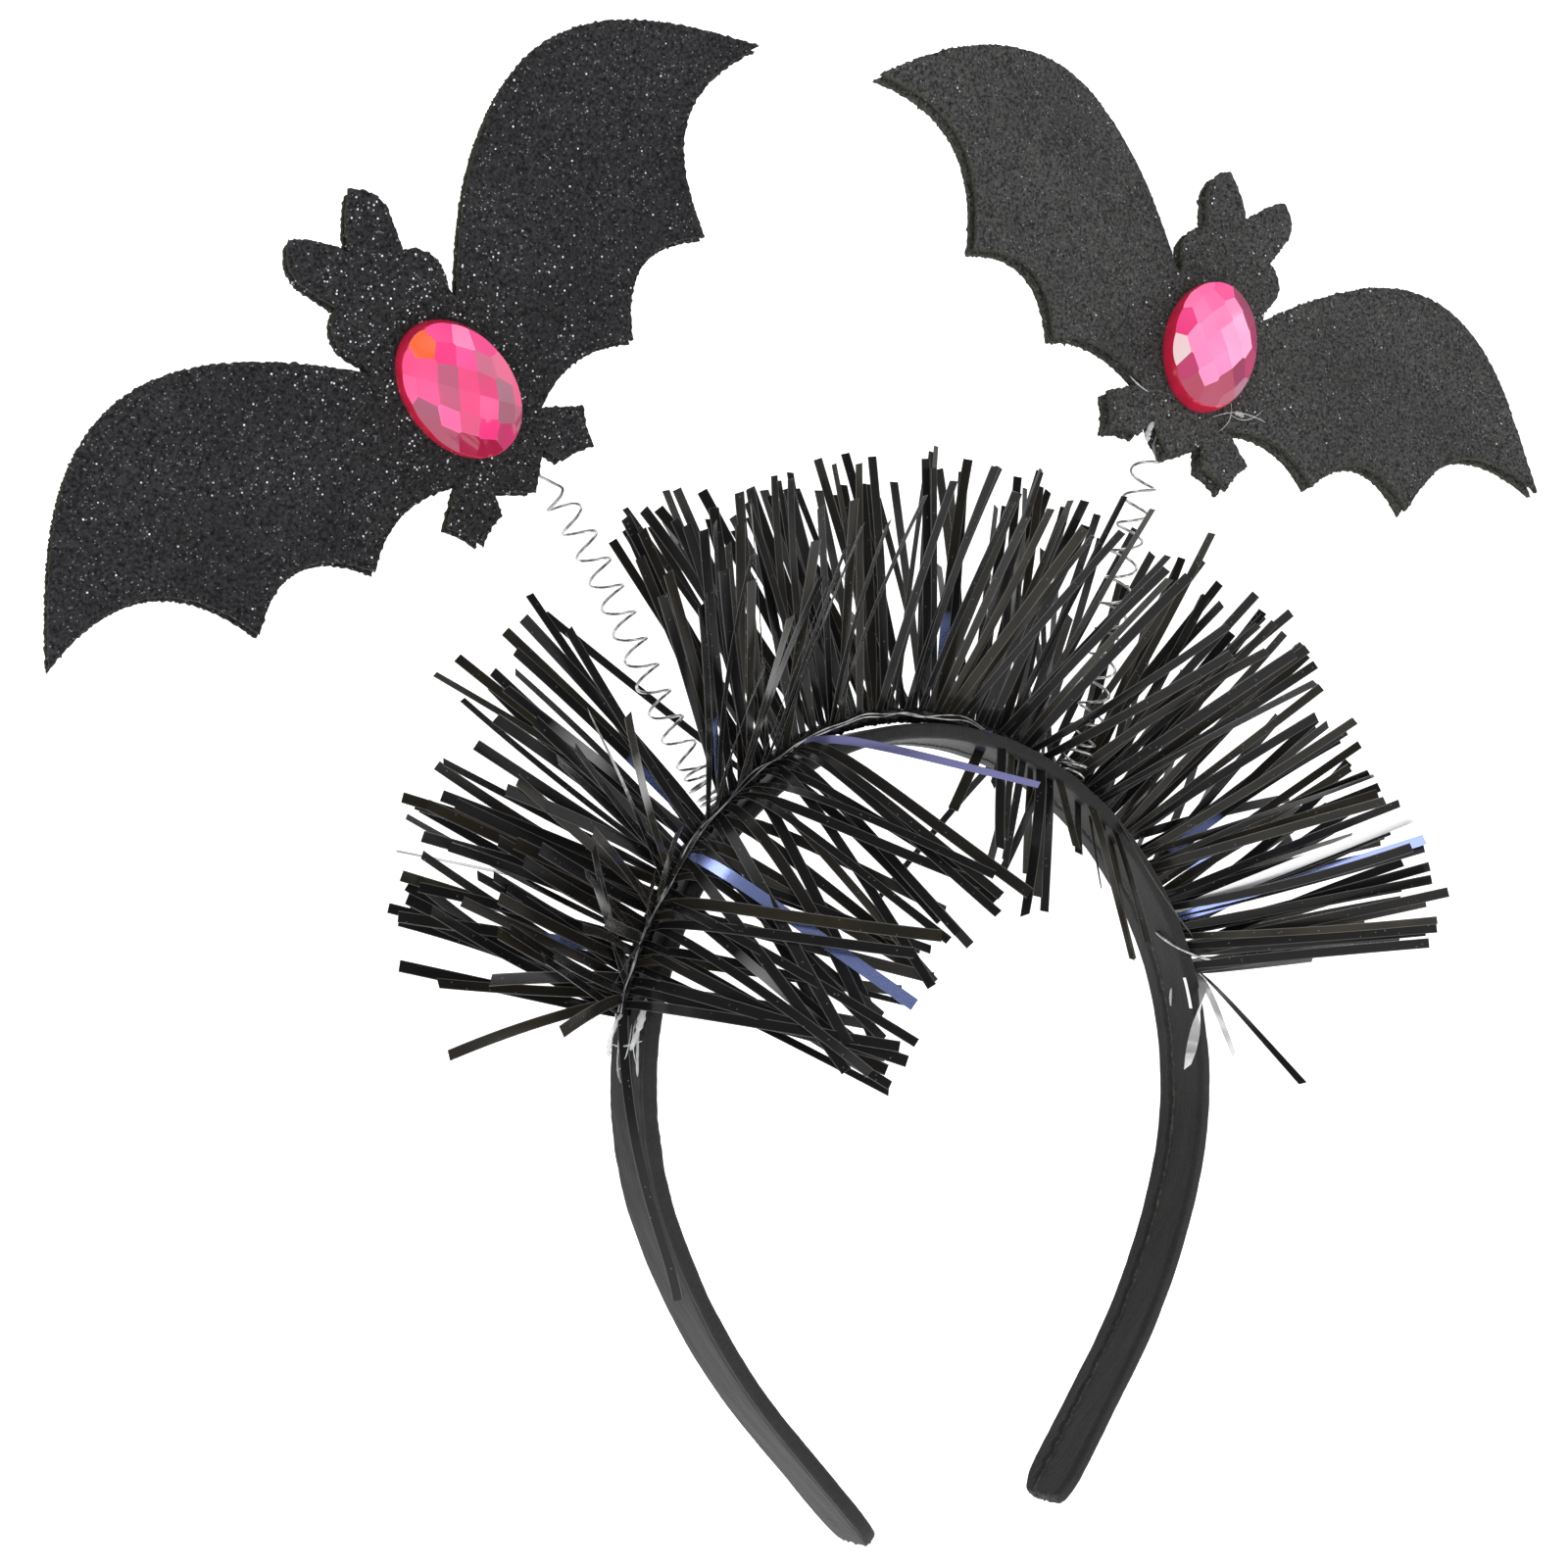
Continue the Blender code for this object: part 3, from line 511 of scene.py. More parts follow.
def core_point(angle):
    """Middle of the garland's core: it lies on the band, and sways to the front by the left
    spring and to the back by the right one, as a sine of the angle between them."""
    first, last = (math.radians(bat["foot"]) for bat in BATS.values())
    phase = (angle - (first + last) / 2.0) / ((last - first) / 2.0)
    side = CORE_SWAY * np.sin(np.pi / 2.0 * phase)
    return on_hoop(ARCH_RADIUS * angle, side, BAND_THICKNESS + CORE_GAP + CORE_RADIUS)


def unit(vectors):
    """Vectors divided by their lengths."""
    return vectors / np.linalg.norm(vectors, axis=-1, keepdims=True)


def round_way(points):
    """Angles of points that stand evenly round a circle."""
    return 2.0 * np.pi * np.arange(points) / points


def way_out(angle, turn, lean=0.0):
    """Unit vectors that point straight out at an angle of the arch, turned toward the back by
    turn and then along the arch by lean: cos lean (cos turn out + sin turn back) + sin lean
    along."""
    zero = 0.0 * angle
    out = np.stack([np.sin(angle), zero, np.cos(angle)], axis=-1)
    along = np.stack([np.cos(angle), zero, -np.sin(angle)], axis=-1)
    turn, lean = turn + zero, lean + zero
    fan = np.cos(turn)[..., None] * out + np.sin(turn)[..., None] * TO_BACK
    return np.cos(lean)[..., None] * fan + np.sin(lean)[..., None] * along


def strip_grid(angle, turn, lean, length, width, roll, twist, softness, curl):
    """Closed flat strips, a (strips, stations, 4, 3) grid. With b a strip's own way, a the same
    with its turn held to the root's limit, and e = 1 - exp(-t / softness), the middle line at a
    share t of the length is a softness e + b (t - softness e), plus a curl that grows with t
    squared. The width turns about that line from the core's direction by roll, plus twist times
    t, and is narrower at the root."""
    t = np.linspace(0.0, 1.0, STRIP_STATIONS)[None, :, None]
    root_turn = np.clip(turn, -ROOT_TURN_LIMIT, ROOT_TURN_LIMIT)
    first = way_out(angle, root_turn, lean)[:, None]
    way = way_out(angle, turn, lean)[:, None]
    along = way_out(angle, 0.0 * angle, np.pi / 2.0)[:, None]
    root = core_point(angle)[:, None] + ROOT_DEPTH * CORE_RADIUS * first
    softness, length = softness[:, None, None], length[:, None, None]
    bend = softness * (1.0 - np.exp(-t / softness))
    tangent = first * np.exp(-t / softness) + way * (1.0 - np.exp(-t / softness))
    sideways = unit(np.cross(way, along))
    push = curl[0][:, None, None] * along + curl[1][:, None, None] * sideways
    line = root + length * (first * bend + way * (t - bend)) + push * t ** 2
    tangent = unit(tangent * length + 2.0 * push * t)
    flat = unit(along - (along * tangent).sum(axis=-1, keepdims=True) * tangent)
    spin = roll[:, None, None] + twist[:, None, None] * t
    broad = flat * np.cos(spin) + np.cross(tangent, flat) * np.sin(spin)
    thin = np.cross(tangent, broad) * STRIP_THICKNESS / 2.0
    widening = ROOT_WIDTH + (1.0 - ROOT_WIDTH) * step_up(t, 0.0, ROOT_SHARE)
    broad = broad * width[:, None, None] / 2.0 * widening
    return np.stack([line - broad - thin, line + broad - thin, line + broad + thin,
                     line - broad + thin], axis=2)


def bat_turns(bat):
    """The place of a bat's stone and the rotation that faces it: yaw, then pitch, then roll."""
    foot = on_hoop(ARCH_RADIUS * np.radians(bat["foot"]), bat["side"] * SPRING_OFFSET, BAND_THICKNESS)
    turn = (
        Matrix.Rotation(math.radians(bat["yaw"]), 3, "Z")
        @ Matrix.Rotation(math.radians(bat["pitch"]), 3, "X")
        @ Matrix.Rotation(math.radians(bat["roll"]), 3, "Y")
    )
    return foot, foot + np.array(bat["rise"]), np.array(turn)


def spring_line(bat, t):
    """The middle of a coil at shares t of its way: a Hermite curve that leaves the band square
    and arrives in line with the bat."""
    foot, stone, turn = bat_turns(bat)
    normal = way_out(np.radians(bat["foot"]), 0.0)
    seat = foot + (SEAT_GAP + WIRE_DIAMETER / 2.0) * normal
    entry = np.array((bat["entry"] * BODY_HALF_WIDTH, WIRE_DEPTH, -TAIL_DROP))
    up = turn[:, 2]
    top = stone + turn @ entry - WIRE_LEAD / 2.0 * up
    pull = np.linalg.norm(top - seat)
    t = t[:, None]
    near = (1.0 + 2.0 * t) * (1.0 - t) ** 2
    far = t * t * (3.0 - 2.0 * t)
    return (near * seat + far * top + t * (1.0 - t) ** 2 * pull * normal
            + t * t * (t - 1.0) * pull * up)


def clear_of_springs(grid):
    """Which strips stay out of both coils, by their least distance from the coils' middles."""
    middle = grid.mean(axis=2)
    clear = np.ones(len(grid), bool)
    for bat in BATS.values():
        axis = spring_line(bat, np.linspace(0.0, 1.0, 60))
        gap = np.linalg.norm(middle[:, :, None] - axis, axis=-1).min(axis=(1, 2))
        clear &= gap > COIL_DIAMETER / 2.0 + SPRING_CLEARANCE
    return clear


def clear_of_corridor(grid):
    """Which strips leave the left spring in sight: in the plane square to the sight, their outer
    parts stay off its upper part, and none that is nearer to the eye crosses the rest."""
    sight = unit(np.array(SIGHT))
    share = np.linspace(UNCOVERED_FROM, 1.0, 50)
    axis = spring_line(BATS["left"], share)
    outer = grid[:, int(CROSSING_FROM * STRIP_STATIONS):].mean(axis=2)
    nearer = (outer @ sight)[:, :, None] < (axis @ sight)
    axis = axis - (axis @ sight)[..., None] * sight
    outer = outer - (outer @ sight)[..., None] * sight
    close = np.linalg.norm(outer[:, :, None] - axis, axis=-1) < CORRIDOR
    return ~(close & (nearer | (share > CLEAR_FROM))).any(axis=(1, 2))


chance = np.random.default_rng(31)
steps = np.radians(np.linspace(*np.degrees(GARLAND_ENDS), 400))
density = np.interp(np.degrees(steps), FAN_ANGLES, STRIP_DENSITY)
filled = np.cumsum(density) * np.degrees(steps[1] - steps[0])
cuts = int(filled[-1] / STRIPS_IN_A_CUT)
cut_angle = np.interp((np.arange(cuts) + 0.5) / cuts * filled[-1], filled, steps)
reach = (np.arange(cuts) * GOLDEN_SHARE + REACH_SPREAD * chance.normal(size=cuts)) % 1.0
front = np.interp(np.degrees(cut_angle), FAN_ANGLES, FAN_FRONT)
back = np.interp(np.degrees(cut_angle), FAN_ANGLES, FAN_BACK)
cut_turn = np.radians(front + (back - front) * reach)
member = np.tile(np.arange(STRIPS_IN_A_CUT) - (STRIPS_IN_A_CUT - 1) / 2.0, cuts)
count = cuts * STRIPS_IN_A_CUT


def per_strip(cut_values, spread):
    """A cut's value for each of its strips, with a spread of chance between them."""
    return np.repeat(cut_values, STRIPS_IN_A_CUT) + chance.normal(0.0, spread, count)


def inward_strips(number, angles, drops, spreads, lengths):
    """Angles of the arch, turns, leans and lengths of strips that point into the hoop. A strip
    that points to the front by f and below level by d stands out of the arch by cos f sin (a - d)
    and along it by cos f cos (a - d), where a is its own angle of the arch."""
    share = (np.arange(number) + chance.uniform(0.0, 0.9, number)) / number
    root = angles[0] + (angles[-1] - angles[0]) * share
    spread = np.interp(root, angles, spreads) * chance.uniform(-1.0, 1.0, number)
    past = np.radians(root - np.interp(root, angles, drops) - spread)
    to_front = np.radians(chance.uniform(*INNER_FRONT, number))
    turn = np.arctan2(-np.sin(to_front), np.cos(to_front) * np.sin(past))
    lean = np.arcsin(np.cos(to_front) * np.cos(past))
    return np.radians(root), turn, lean, chance.uniform(*lengths, number)


angle = per_strip(cut_angle, STRIP_ANGLE_SPREAD) + member * STRIP_ANGLE_STEP
angle = np.clip(angle, *GARLAND_ENDS)
turn = per_strip(cut_turn, STRIP_TURN_SPREAD) + member * STRIP_TURN_STEP
lean = np.radians(np.interp(np.degrees(cut_angle), FAN_ANGLES, STRIP_LEAN))
lean = per_strip(lean + chance.normal(0.0, CUT_LEAN_SPREAD, cuts), STRIP_LEAN_SPREAD)
length = np.interp(np.degrees(cut_angle), FAN_ANGLES, STRIP_REACH)
length = per_strip(length * chance.uniform(*STRIP_LENGTHS, cuts), STRIP_LENGTH_SPREAD)
strips_in = [
    inward_strips(INNER_STRIPS, INNER_ANGLES, INNER_DROP, INNER_SPREAD, STRIP_LENGTHS),
    inward_strips(HANGING_STRIPS, HANGING_ANGLES, HANGING_DROP, HANGING_SPREAD, HANGING_LENGTHS),
]
angle, turn, lean, length = (
    np.concatenate(parts) for parts in zip((angle, turn, lean, length), *strips_in)
)
count = len(angle)
width = chance.uniform(*STRIP_WIDTHS, count)
roll = chance.normal(0.0, ROLL_SPREAD, count)
twist = chance.normal(0.0, TWIST_SPREAD, count)
bent_over = np.abs(turn) > ROOT_TURN_LIMIT
softness = np.where(bent_over, SOFTNESS_BENT_OVER, chance.uniform(*SOFTNESS, count))
curl = chance.normal(0.0, CURL_SPREAD, (2, count))
curl = curl * np.where(chance.random(count) > 1.0 - CURLY_SHARE, CURLY_TIMES, 1.0)
strips = strip_grid(angle, turn, lean, length, width, roll, twist, softness, curl)
strips = strips[clear_of_springs(strips) & clear_of_corridor(strips)]

# The hues of strips, in the attribute "hue" of each point: plain black is nought. A pale glint is
# a painted white highlight midway along the strip, a blue glow a painted blue reflection near the
# root, blue a painted blue reflection all along it, silver the foil's silver back, and violet a
# painted violet reflection
PALE_GLINT = 0.3
BLUE_GLOW = 0.6
BLUE = 1.0
SILVER_HUE = 2.0
VIOLET = 3.0
GLOW_SHARE = 0.03
GLINT_SHARE = 0.035

foil = Finish("black_foil", IOR=1.26)
across = foil.read("across")
edge = across.maths("ABSOLUTE", across)
tone = foil.read("tone")
hue = foil.read("hue")
along = foil.read("along")
where = foil.place()
colour = foil.mix(tone.between(0.40, 0.95), BLACK_FOIL, OLIVE_FOIL)
colour = foil.mix(foil.noise(where, 0.009).between(0.35, 0.75) * 0.8, colour, BLACK_FOIL)
# Painted highlights: a pale line along each strip's edges, then pale specks over the foil
colour = foil.mix(edge.between(0.80, 0.98) * 0.9, colour, FOIL_HIGHLIGHT)
speck_highlights = foil.grains(where, 0.0016, "Distance").between(0.12, 0.07)
colour = foil.mix(speck_highlights * 0.7, colour, FOIL_HIGHLIGHT)
# The painted blue reflection: a patch near the root of a blue glow strip, and all along a blue one
glow = along.between(0.12, 0.17) * (1.0 - along.between(0.32, 0.40))
bright = hue.above(0.8) + (hue.above(0.4) - hue.above(0.8)) * glow
# Painted white highlights: a glint midway along a few strips
glint = along.between(0.40, 0.54) * (1.0 - along.between(0.60, 0.78))
glint = (hue.above(0.2) - hue.above(0.4)) * glint
colour = foil.mix(bright, colour, BLUE_SHEEN_COLOUR)
colour = foil.mix(glint * 0.45, colour, SILVER_BACK_AND_GLINT)
colour = foil.mix(hue.above(1.5), colour, SILVER_BACK_AND_GLINT)
colour = foil.mix(hue.above(2.5), colour, VIOLET_SHEEN_COLOUR)
foil.feed("Base Color", colour)
# Metallic where the painted blue and violet reflections and the silver back are
foil.feed("Metallic", bright * (0.85 - 0.45 * hue.above(1.5)))
foil.feed("Roughness", 0.12 + 0.18 * foil.noise(where, 0.006))
crinkle = foil.noise(where, 0.0016, detail=3.0)
foil.feed("Normal", foil.bump(crinkle, 0.00003, 0.2))


def add_strips(name, grid, hues, nodes=()):
    """Strips as one piece, with each point's way across and along its strip, and the strip's
    tone and hue."""
    tubes, rows, corners = grid.shape[:3]
    points = rows * corners + 2
    piece = add_tubes(name, grid, foil, nodes, sharp=40.0)
    across = np.zeros((tubes, points))
    across[:, :-2] = np.tile((-1.0, 1.0, 1.0, -1.0), rows)
    along = np.zeros((tubes, points))
    along[:, :-2] = np.repeat(np.linspace(0.0, 1.0, rows), corners)
    tones = np.random.default_rng(tubes).uniform(0.0, 1.0, tubes)
    add_attribute(piece, "across", across)
    add_attribute(piece, "along", along)
    add_attribute(piece, "tone", np.repeat(tones, points))
    add_attribute(piece, "hue", np.repeat(hues, points))


# Strips that stand by themselves: the angle of the arch that each grows from, its turn and lean
# in degrees, its length and width, its roll and twist in degrees, its softness, its curl along
# and across, and its hue
LONE_STRIPS = (
    ("violet one across the arch", -26, -147, 42, 0.0440, 0.0015, 50, 30, 0.12, (0.0, 0.0), VIOLET),
    ("broad one to the middle", -26, -148, 12, 0.0500, 0.0021, 10, 10, 0.12, (0.0010, 0.0), 0.0),
    ("its neighbour", -28, -150, 6, 0.0490, 0.0019, -15, 15, 0.12, (0.0, 0.0010), 0.0),
    ("one back across it", 24, 132, 5, 0.0460, 0.0014, 40, 40, 0.12, (0.0, 0.0), 0.0),
    ("hanging, long", 25, -158, -2, 0.0440, 0.0020, 20, 60, 0.10, (-0.0030, 0.0), 0.0),
    ("hanging, right", 33, -156, 24, 0.0420, 0.0018, 35, -40, 0.12, (0.0, 0.0), 0.0),
    ("silver pair, upper", 65, -56, -5, 0.0500, 0.0021, 0, 5, 0.12, (0.0, 0.0), SILVER_HUE),
    ("silver pair, lower", 66, -58, -2, 0.0500, 0.0021, 8, 5, 0.12, (0.0, 0.0), BLUE),
    ("bright blue, inside", -52, -150, -6, 0.0480, 0.0021, 0, 8, 0.12, (0.0, 0.0), BLUE),
    ("stray, right end", 73, -106, 37, 0.0360, 0.0018, 50, 30, 0.12, (0.0, 0.0), 0.0),
    ("curly end", 75, -152, 19, 0.0300, 0.0019, 40, 260, 0.14, (0.0020, 0.0), SILVER_HUE),
    ("thin stray", 74, -128, 31, 0.0240, 0.0012, 60, 90, 0.14, (0.0015, 0.0), SILVER_HUE),
)
_, angle, turn, lean, length, width, roll, twist, softness, curl, hue = (
    np.array(column) for column in zip(*LONE_STRIPS)
)
lone_strips = strip_grid(np.radians(angle), np.radians(turn), np.radians(lean), length, width,
                         np.radians(roll), np.radians(twist), softness, curl.T)
draw = chance.uniform(size=len(strips))
hues = np.where(draw > 1.0 - GLINT_SHARE, PALE_GLINT, 0.0)
hues = np.where(draw < GLOW_SHARE, BLUE_GLOW, hues)
strips = np.concatenate([strips, lone_strips])
add_strips("garland_strips", strips, np.concatenate([hues, hue]), ["tinsel"])


# Core: the strips' gathered roots, a lumpy black cord, with two silver threads twisted round it.
# They show wherever the strips part.
CORD_ROWS = 420
CORD_SIDES = 16
CORD_RADIUS = 0.0013
LUMP_RADIUS = 0.00022
CORD_LUMP_LENGTH = 0.0022
THREAD_RADIUS = 0.00013
THREAD_GAP = 0.0003
THREAD_SIDES = 6
# How far round the core the threads lie: the first's turn in degrees, and how it drifts to the
# front along the arch; how far round from it the second lies; and how both wander, in radians
THREAD_TURN = -93.0
THREAD_DRIFT = 0.52
THREAD_STEP = 0.10
THREAD_WANDER = (0.12, 0.25)
THREAD_WAVES = (0.2, 0.35)
SILVER = (0.78, 0.78, 0.77, 1.0)
TARNISH = (0.20, 0.20, 0.21, 1.0)


def sweep(line, radius, sides, hint):
    """A tube of a radius, one number or one for each point, round a line: each ring is the cosine
    and sine of the way round times two directions square to the line."""
    tangent = unit(np.gradient(line, axis=0))
    first = unit(np.cross(tangent, hint))
    second = np.cross(tangent, first)
    way = round_way(sides)
    radius = np.broadcast_to(radius, (len(line), sides))[..., None]
    ring = np.cos(way)[None, :, None] * first[:, None] + np.sin(way)[None, :, None] * second[:, None]
    return line[:, None] + radius * ring


cord_angle = np.linspace(*GARLAND_ENDS, CORD_ROWS)
cord_line = core_point(cord_angle)
way = np.arange(CORD_SIDES) / CORD_SIDES
lumps = ripples(cord_angle[:, None] * ARCH_RADIUS / CORD_LUMP_LENGTH, 21,
                2.0 * np.sin(2.0 * np.pi * way)[None])
cord_grid = sweep(cord_line, CORD_RADIUS + LUMP_RADIUS * lumps, CORD_SIDES, TO_BACK)
cord = add_tubes("garland_core", cord_grid[None], foil, ())
for name in ("across", "along", "tone", "hue"):
    add_attribute(cord, name, np.zeros(len(cord.data.vertices)))

silver = Finish("silver_thread", Metallic=0.7, Roughness=0.35)
dull = silver.noise(silver.place(), 0.003).between(0.35, 0.6)
silver.feed("Base Color", silver.mix(dull, SILVER, TARNISH))
shown = np.radians(THREAD_TURN) - THREAD_DRIFT * cord_angle
shown = shown + THREAD_WANDER[0] * ripples(cord_angle / THREAD_WAVES[0], 22)
beside = shown + THREAD_STEP + THREAD_WANDER[1] * ripples(cord_angle / THREAD_WAVES[1], 23)
threads = np.stack([
    sweep(cord_line + (CORE_RADIUS + THREAD_GAP) * way_out(cord_angle, winding), THREAD_RADIUS,
          THREAD_SIDES, TO_BACK)
    for winding in (shown, beside)
])
add_tubes("core_threads", threads, silver, ())


# Springs: fine bright steel wire wound into two long coils. The lowest turns are crowded and
# tangled where they are glued to the band, and the wire's straight end lies in the bat.
TIGHT_TURNS = 5
TIGHT_PITCH = 0.0016
OPEN_TURNS = 11
COIL_RUN_IN = 0.3
POINTS_IN_A_TURN = 30
# The coil's last points give way to the bend into the straight end, which starts this far inside
TAIL_ROOM = 0.001
POINTS_IN_THE_BEND = 4
WIRE_GAUGE = 0.00053
WIRE_SIDES = 8
# The crowded turns' chance: how far they wander across and along the coil, by what share their
# radius differs, and in waves of how many turns; the turns where it sets in, how far past the
# crowded turns it has gone, and over how many it goes
TANGLE_ACROSS = 0.0007
TANGLE_ALONG = 0.0006
TANGLE_RADIUS = 0.05
TANGLE_WAVES = (1.3, 1.1, 0.7)
TANGLE_FROM = (0.6, 1.6)
TANGLE_PAST = 1.5
TANGLE_FADE = 2.0
NOT_ALONG_WIRE = np.array((0.0, 0.17, 0.98))
STEEL = (0.58, 0.58, 0.575, 1.0)
DARK_STEEL = (0.09, 0.09, 0.09, 1.0)


def spring_wire(bat, seed):
    """The wire's middle line: a circle of the coil's radius round the coil's middle, which climbs
    by half a square law in its first turn, by the tight pitch, and then by the open one. The
    radius closes as a sine at the top, where the straight end goes on into the bat."""
    shares = np.linspace(0.0, 1.0, 240)
    axis = spring_line(bat, shares)
    lengths = np.concatenate([[0.0], np.cumsum(np.linalg.norm(np.diff(axis, axis=0), axis=1))])
    turns = TIGHT_TURNS + OPEN_TURNS
    turn = np.linspace(0.0, turns, turns * POINTS_IN_A_TURN + 1)
    open_pitch = (lengths[-1] - TIGHT_PITCH * (TIGHT_TURNS - 0.5)) / OPEN_TURNS
    height = TIGHT_PITCH * np.minimum(turn, 1.0) ** 2 / 2.0
    height += TIGHT_PITCH * np.maximum(0.0, np.minimum(turn, TIGHT_TURNS) - 1.0)
    height += open_pitch * np.maximum(0.0, turn - TIGHT_TURNS)
    centre, way = (
        np.stack([np.interp(height, lengths, column) for column in part.T], axis=-1)
        for part in (axis, unit(np.gradient(axis, axis=0)))
    )
    way = unit(way)
    across = unit(np.cross(TO_BACK, way))
    beside = np.cross(way, across)
    run_in = np.minimum(1.0, (turns - turn) / COIL_RUN_IN)
    radius = (COIL_DIAMETER - WIRE_DIAMETER) / 2.0 * np.sin(np.pi / 2.0 * run_in)
    spin = (2.0 * np.pi * turn)[:, None]
    tangle = step_up(turn, *TANGLE_FROM)
    tangle = tangle * step_up(TIGHT_TURNS + TANGLE_PAST - turn, 0.0, TANGLE_FADE)
    chances = [ripples(turn / wave, seed + k) for k, wave in enumerate(TANGLE_WAVES)]
    centre = centre + TANGLE_ACROSS * (tangle * chances[0])[:, None] * across
    centre = centre + TANGLE_ALONG * (tangle * chances[1])[:, None] * way
    radius = radius * (1.0 + TANGLE_RADIUS * tangle * chances[2])
    line = centre + radius[:, None] * (np.cos(spin) * across + np.sin(spin) * beside)
    _, stone, rotation = bat_turns(bat)
    drops = np.linspace(TAIL_DROP - TAIL_ROOM, TAIL_DROP - WIRE_TAIL, 5)[:, None]
    entry = np.array((bat["entry"] * BODY_HALF_WIDTH, WIRE_DEPTH, 0.0))
    tail = drops * np.array((0.0, 0.0, -1.0)) + entry
    return np.concatenate([line[:-POINTS_IN_THE_BEND], stone + tail @ rotation.T])


steel = Finish("spring_steel", Metallic=1.0)
streak = steel.noise(steel.place(), 0.0011, detail=3.0)
steel.feed("Base Color", steel.mix(streak.between(0.3, 0.8), STEEL, DARK_STEEL))
steel.feed("Roughness", 0.16 + 0.25 * streak)
for number, (side_name, bat) in enumerate(BATS.items()):
    wire = spring_wire(bat, seed=40 + 10 * number)
    grid = sweep(wire, WIRE_GAUGE / 2.0, WIRE_SIDES, NOT_ALONG_WIRE)
    add_tubes(f"spring_wire_{side_name}", grid[None], steel, [f"spring_{side_name}"])


# Bats: each is two sheets of 1 mm craft foam with a glitter face, punched to one outline and
# glued back to back over the end of the spring's wire. The punch leaves a crumbly edge, the
# wings curl a little, and the back sheet's feet splay.
SHEET_THICKNESS = 0.0010
WING_REACH = 0.0783
WING_RISE = 0.0330
EAR_RISE = 0.0350
FOLD_FROM_BODY = 0.0158
FOOT_LINE = 0.0130
WING_ROOT_RISE = 0.333
EDGE_STEP = 0.00045
GRID_STEP = 0.0016
LATTICE_JITTER = 0.15
LEADING_EDGE_POINTS = 230
# A bat's outline on its right side, in shares: the feet's corners, across in the body's half width
# and down in the tail's drop; the wing's, across in its reach and up in its rise; and the head's,
# across in the body's half width and up in the ears' rise. Then how far the way to each corner
# rises to the left, in shares of its length
FEET = (
    ("tail point", 0.00, 1.00, 0.00),
    ("foot root", 0.59, 0.78, 0.00),
    ("inner toe", 0.74, 0.96, 0.00),
    ("middle toe", 1.35, 1.04, 0.08),
    ("outer toe", 1.64, 0.75, 0.06),
    ("foot top", 1.01, 0.54, 0.00),
)
WING = (
    ("inner corner", 0.378, -0.418, 0.15),
    ("outer corner", 0.645, -0.261, 0.29),
    ("wing tip", 1.000, 0.285, 0.26),
)
LEADING_EDGE_HANDLES = ((0.716, 1.142), (0.476, 1.318))
HEAD = (
    ("cheek foot", 0.98, 0.37, 0.00),
    ("cheek", 1.13, 0.49, -0.05),
    ("ear foot", 0.76, 0.64, -0.16),
    ("ear back", 0.98, 0.82, 0.00),
    ("ear tip", 0.66, 1.00, -0.16),
    ("valley", 0.00, 0.79, -0.06),
)
# How each bat's sheets bend, in degrees: the fold of the left and of the right wing and the splay
# of the back sheet's feet; how far that sheet slipped when it was glued, and how deep the punch's
# crumbs are, in metres
SHEETS = {
    "left": {"folds": (2.0, -1.0), "splay": 13.0, "slip": (-0.0007, -0.0005), "crumb": 0.00018},
    "right": {"folds": (11.0, -2.0), "splay": 4.0, "slip": (-0.0005, -0.0009), "crumb": 0.00024},
}
FEET_REACH = 1.7
FOLD_KNEE = 0.004
SWELL_HEIGHT = 0.0006
SWELL_LENGTH = 0.05
SWELL_FROM_BODY = (0.008, 0.030)
WIRE_BULGE = 0.0004
WIRE_BULGE_WIDTH = 0.0011
WIRE_BULGE_BELOW = (0.012, 0.016)
# Where the sparks gather: above the stone's middle, and how wide and high their hump is
SPARKS_RISE = 0.004
SPARKS_WIDTH = 0.020
SPARKS_HEIGHT = 0.030
CRUMB_LENGTH = 0.0009
NICK_SHARE = 0.35
NICK_LENGTH = 0.0016
# Rings of the cut edge, from the glued face to the glittered one: how deep each lies as a share of
# the thickness, how far it bulges in metres, its share of the crumbs, and whether it is cut foam
EDGE_DEPTHS = np.array((0.0, 0.12, 0.37, 0.63, 0.88, 1.0))
EDGE_BULGES = np.array((-0.00005, 0.0, 0.00004, 0.00004, 0.0, -0.00005))
EDGE_CRUMBS = np.array((0.0, 0.6, 1.0, 1.0, 0.6, 0.0))
EDGE_IS_CUT = (0.0, 1.0, 1.0, 1.0, 1.0, 0.0)


def arc_to(start, end, rise):
    """Points after start, an edge step apart, on the parabola to end whose middle rises left of
    the chord by a share of it."""
    chord = end - start
    steps = max(1, round(np.hypot(*chord) * (1.0 + abs(rise)) / EDGE_STEP))
    share = (np.arange(1, steps + 1) / steps)[:, None]
    left = np.array((-chord[1], chord[0]))
    return start + share * chord + 4.0 * rise * share * (1.0 - share) * left


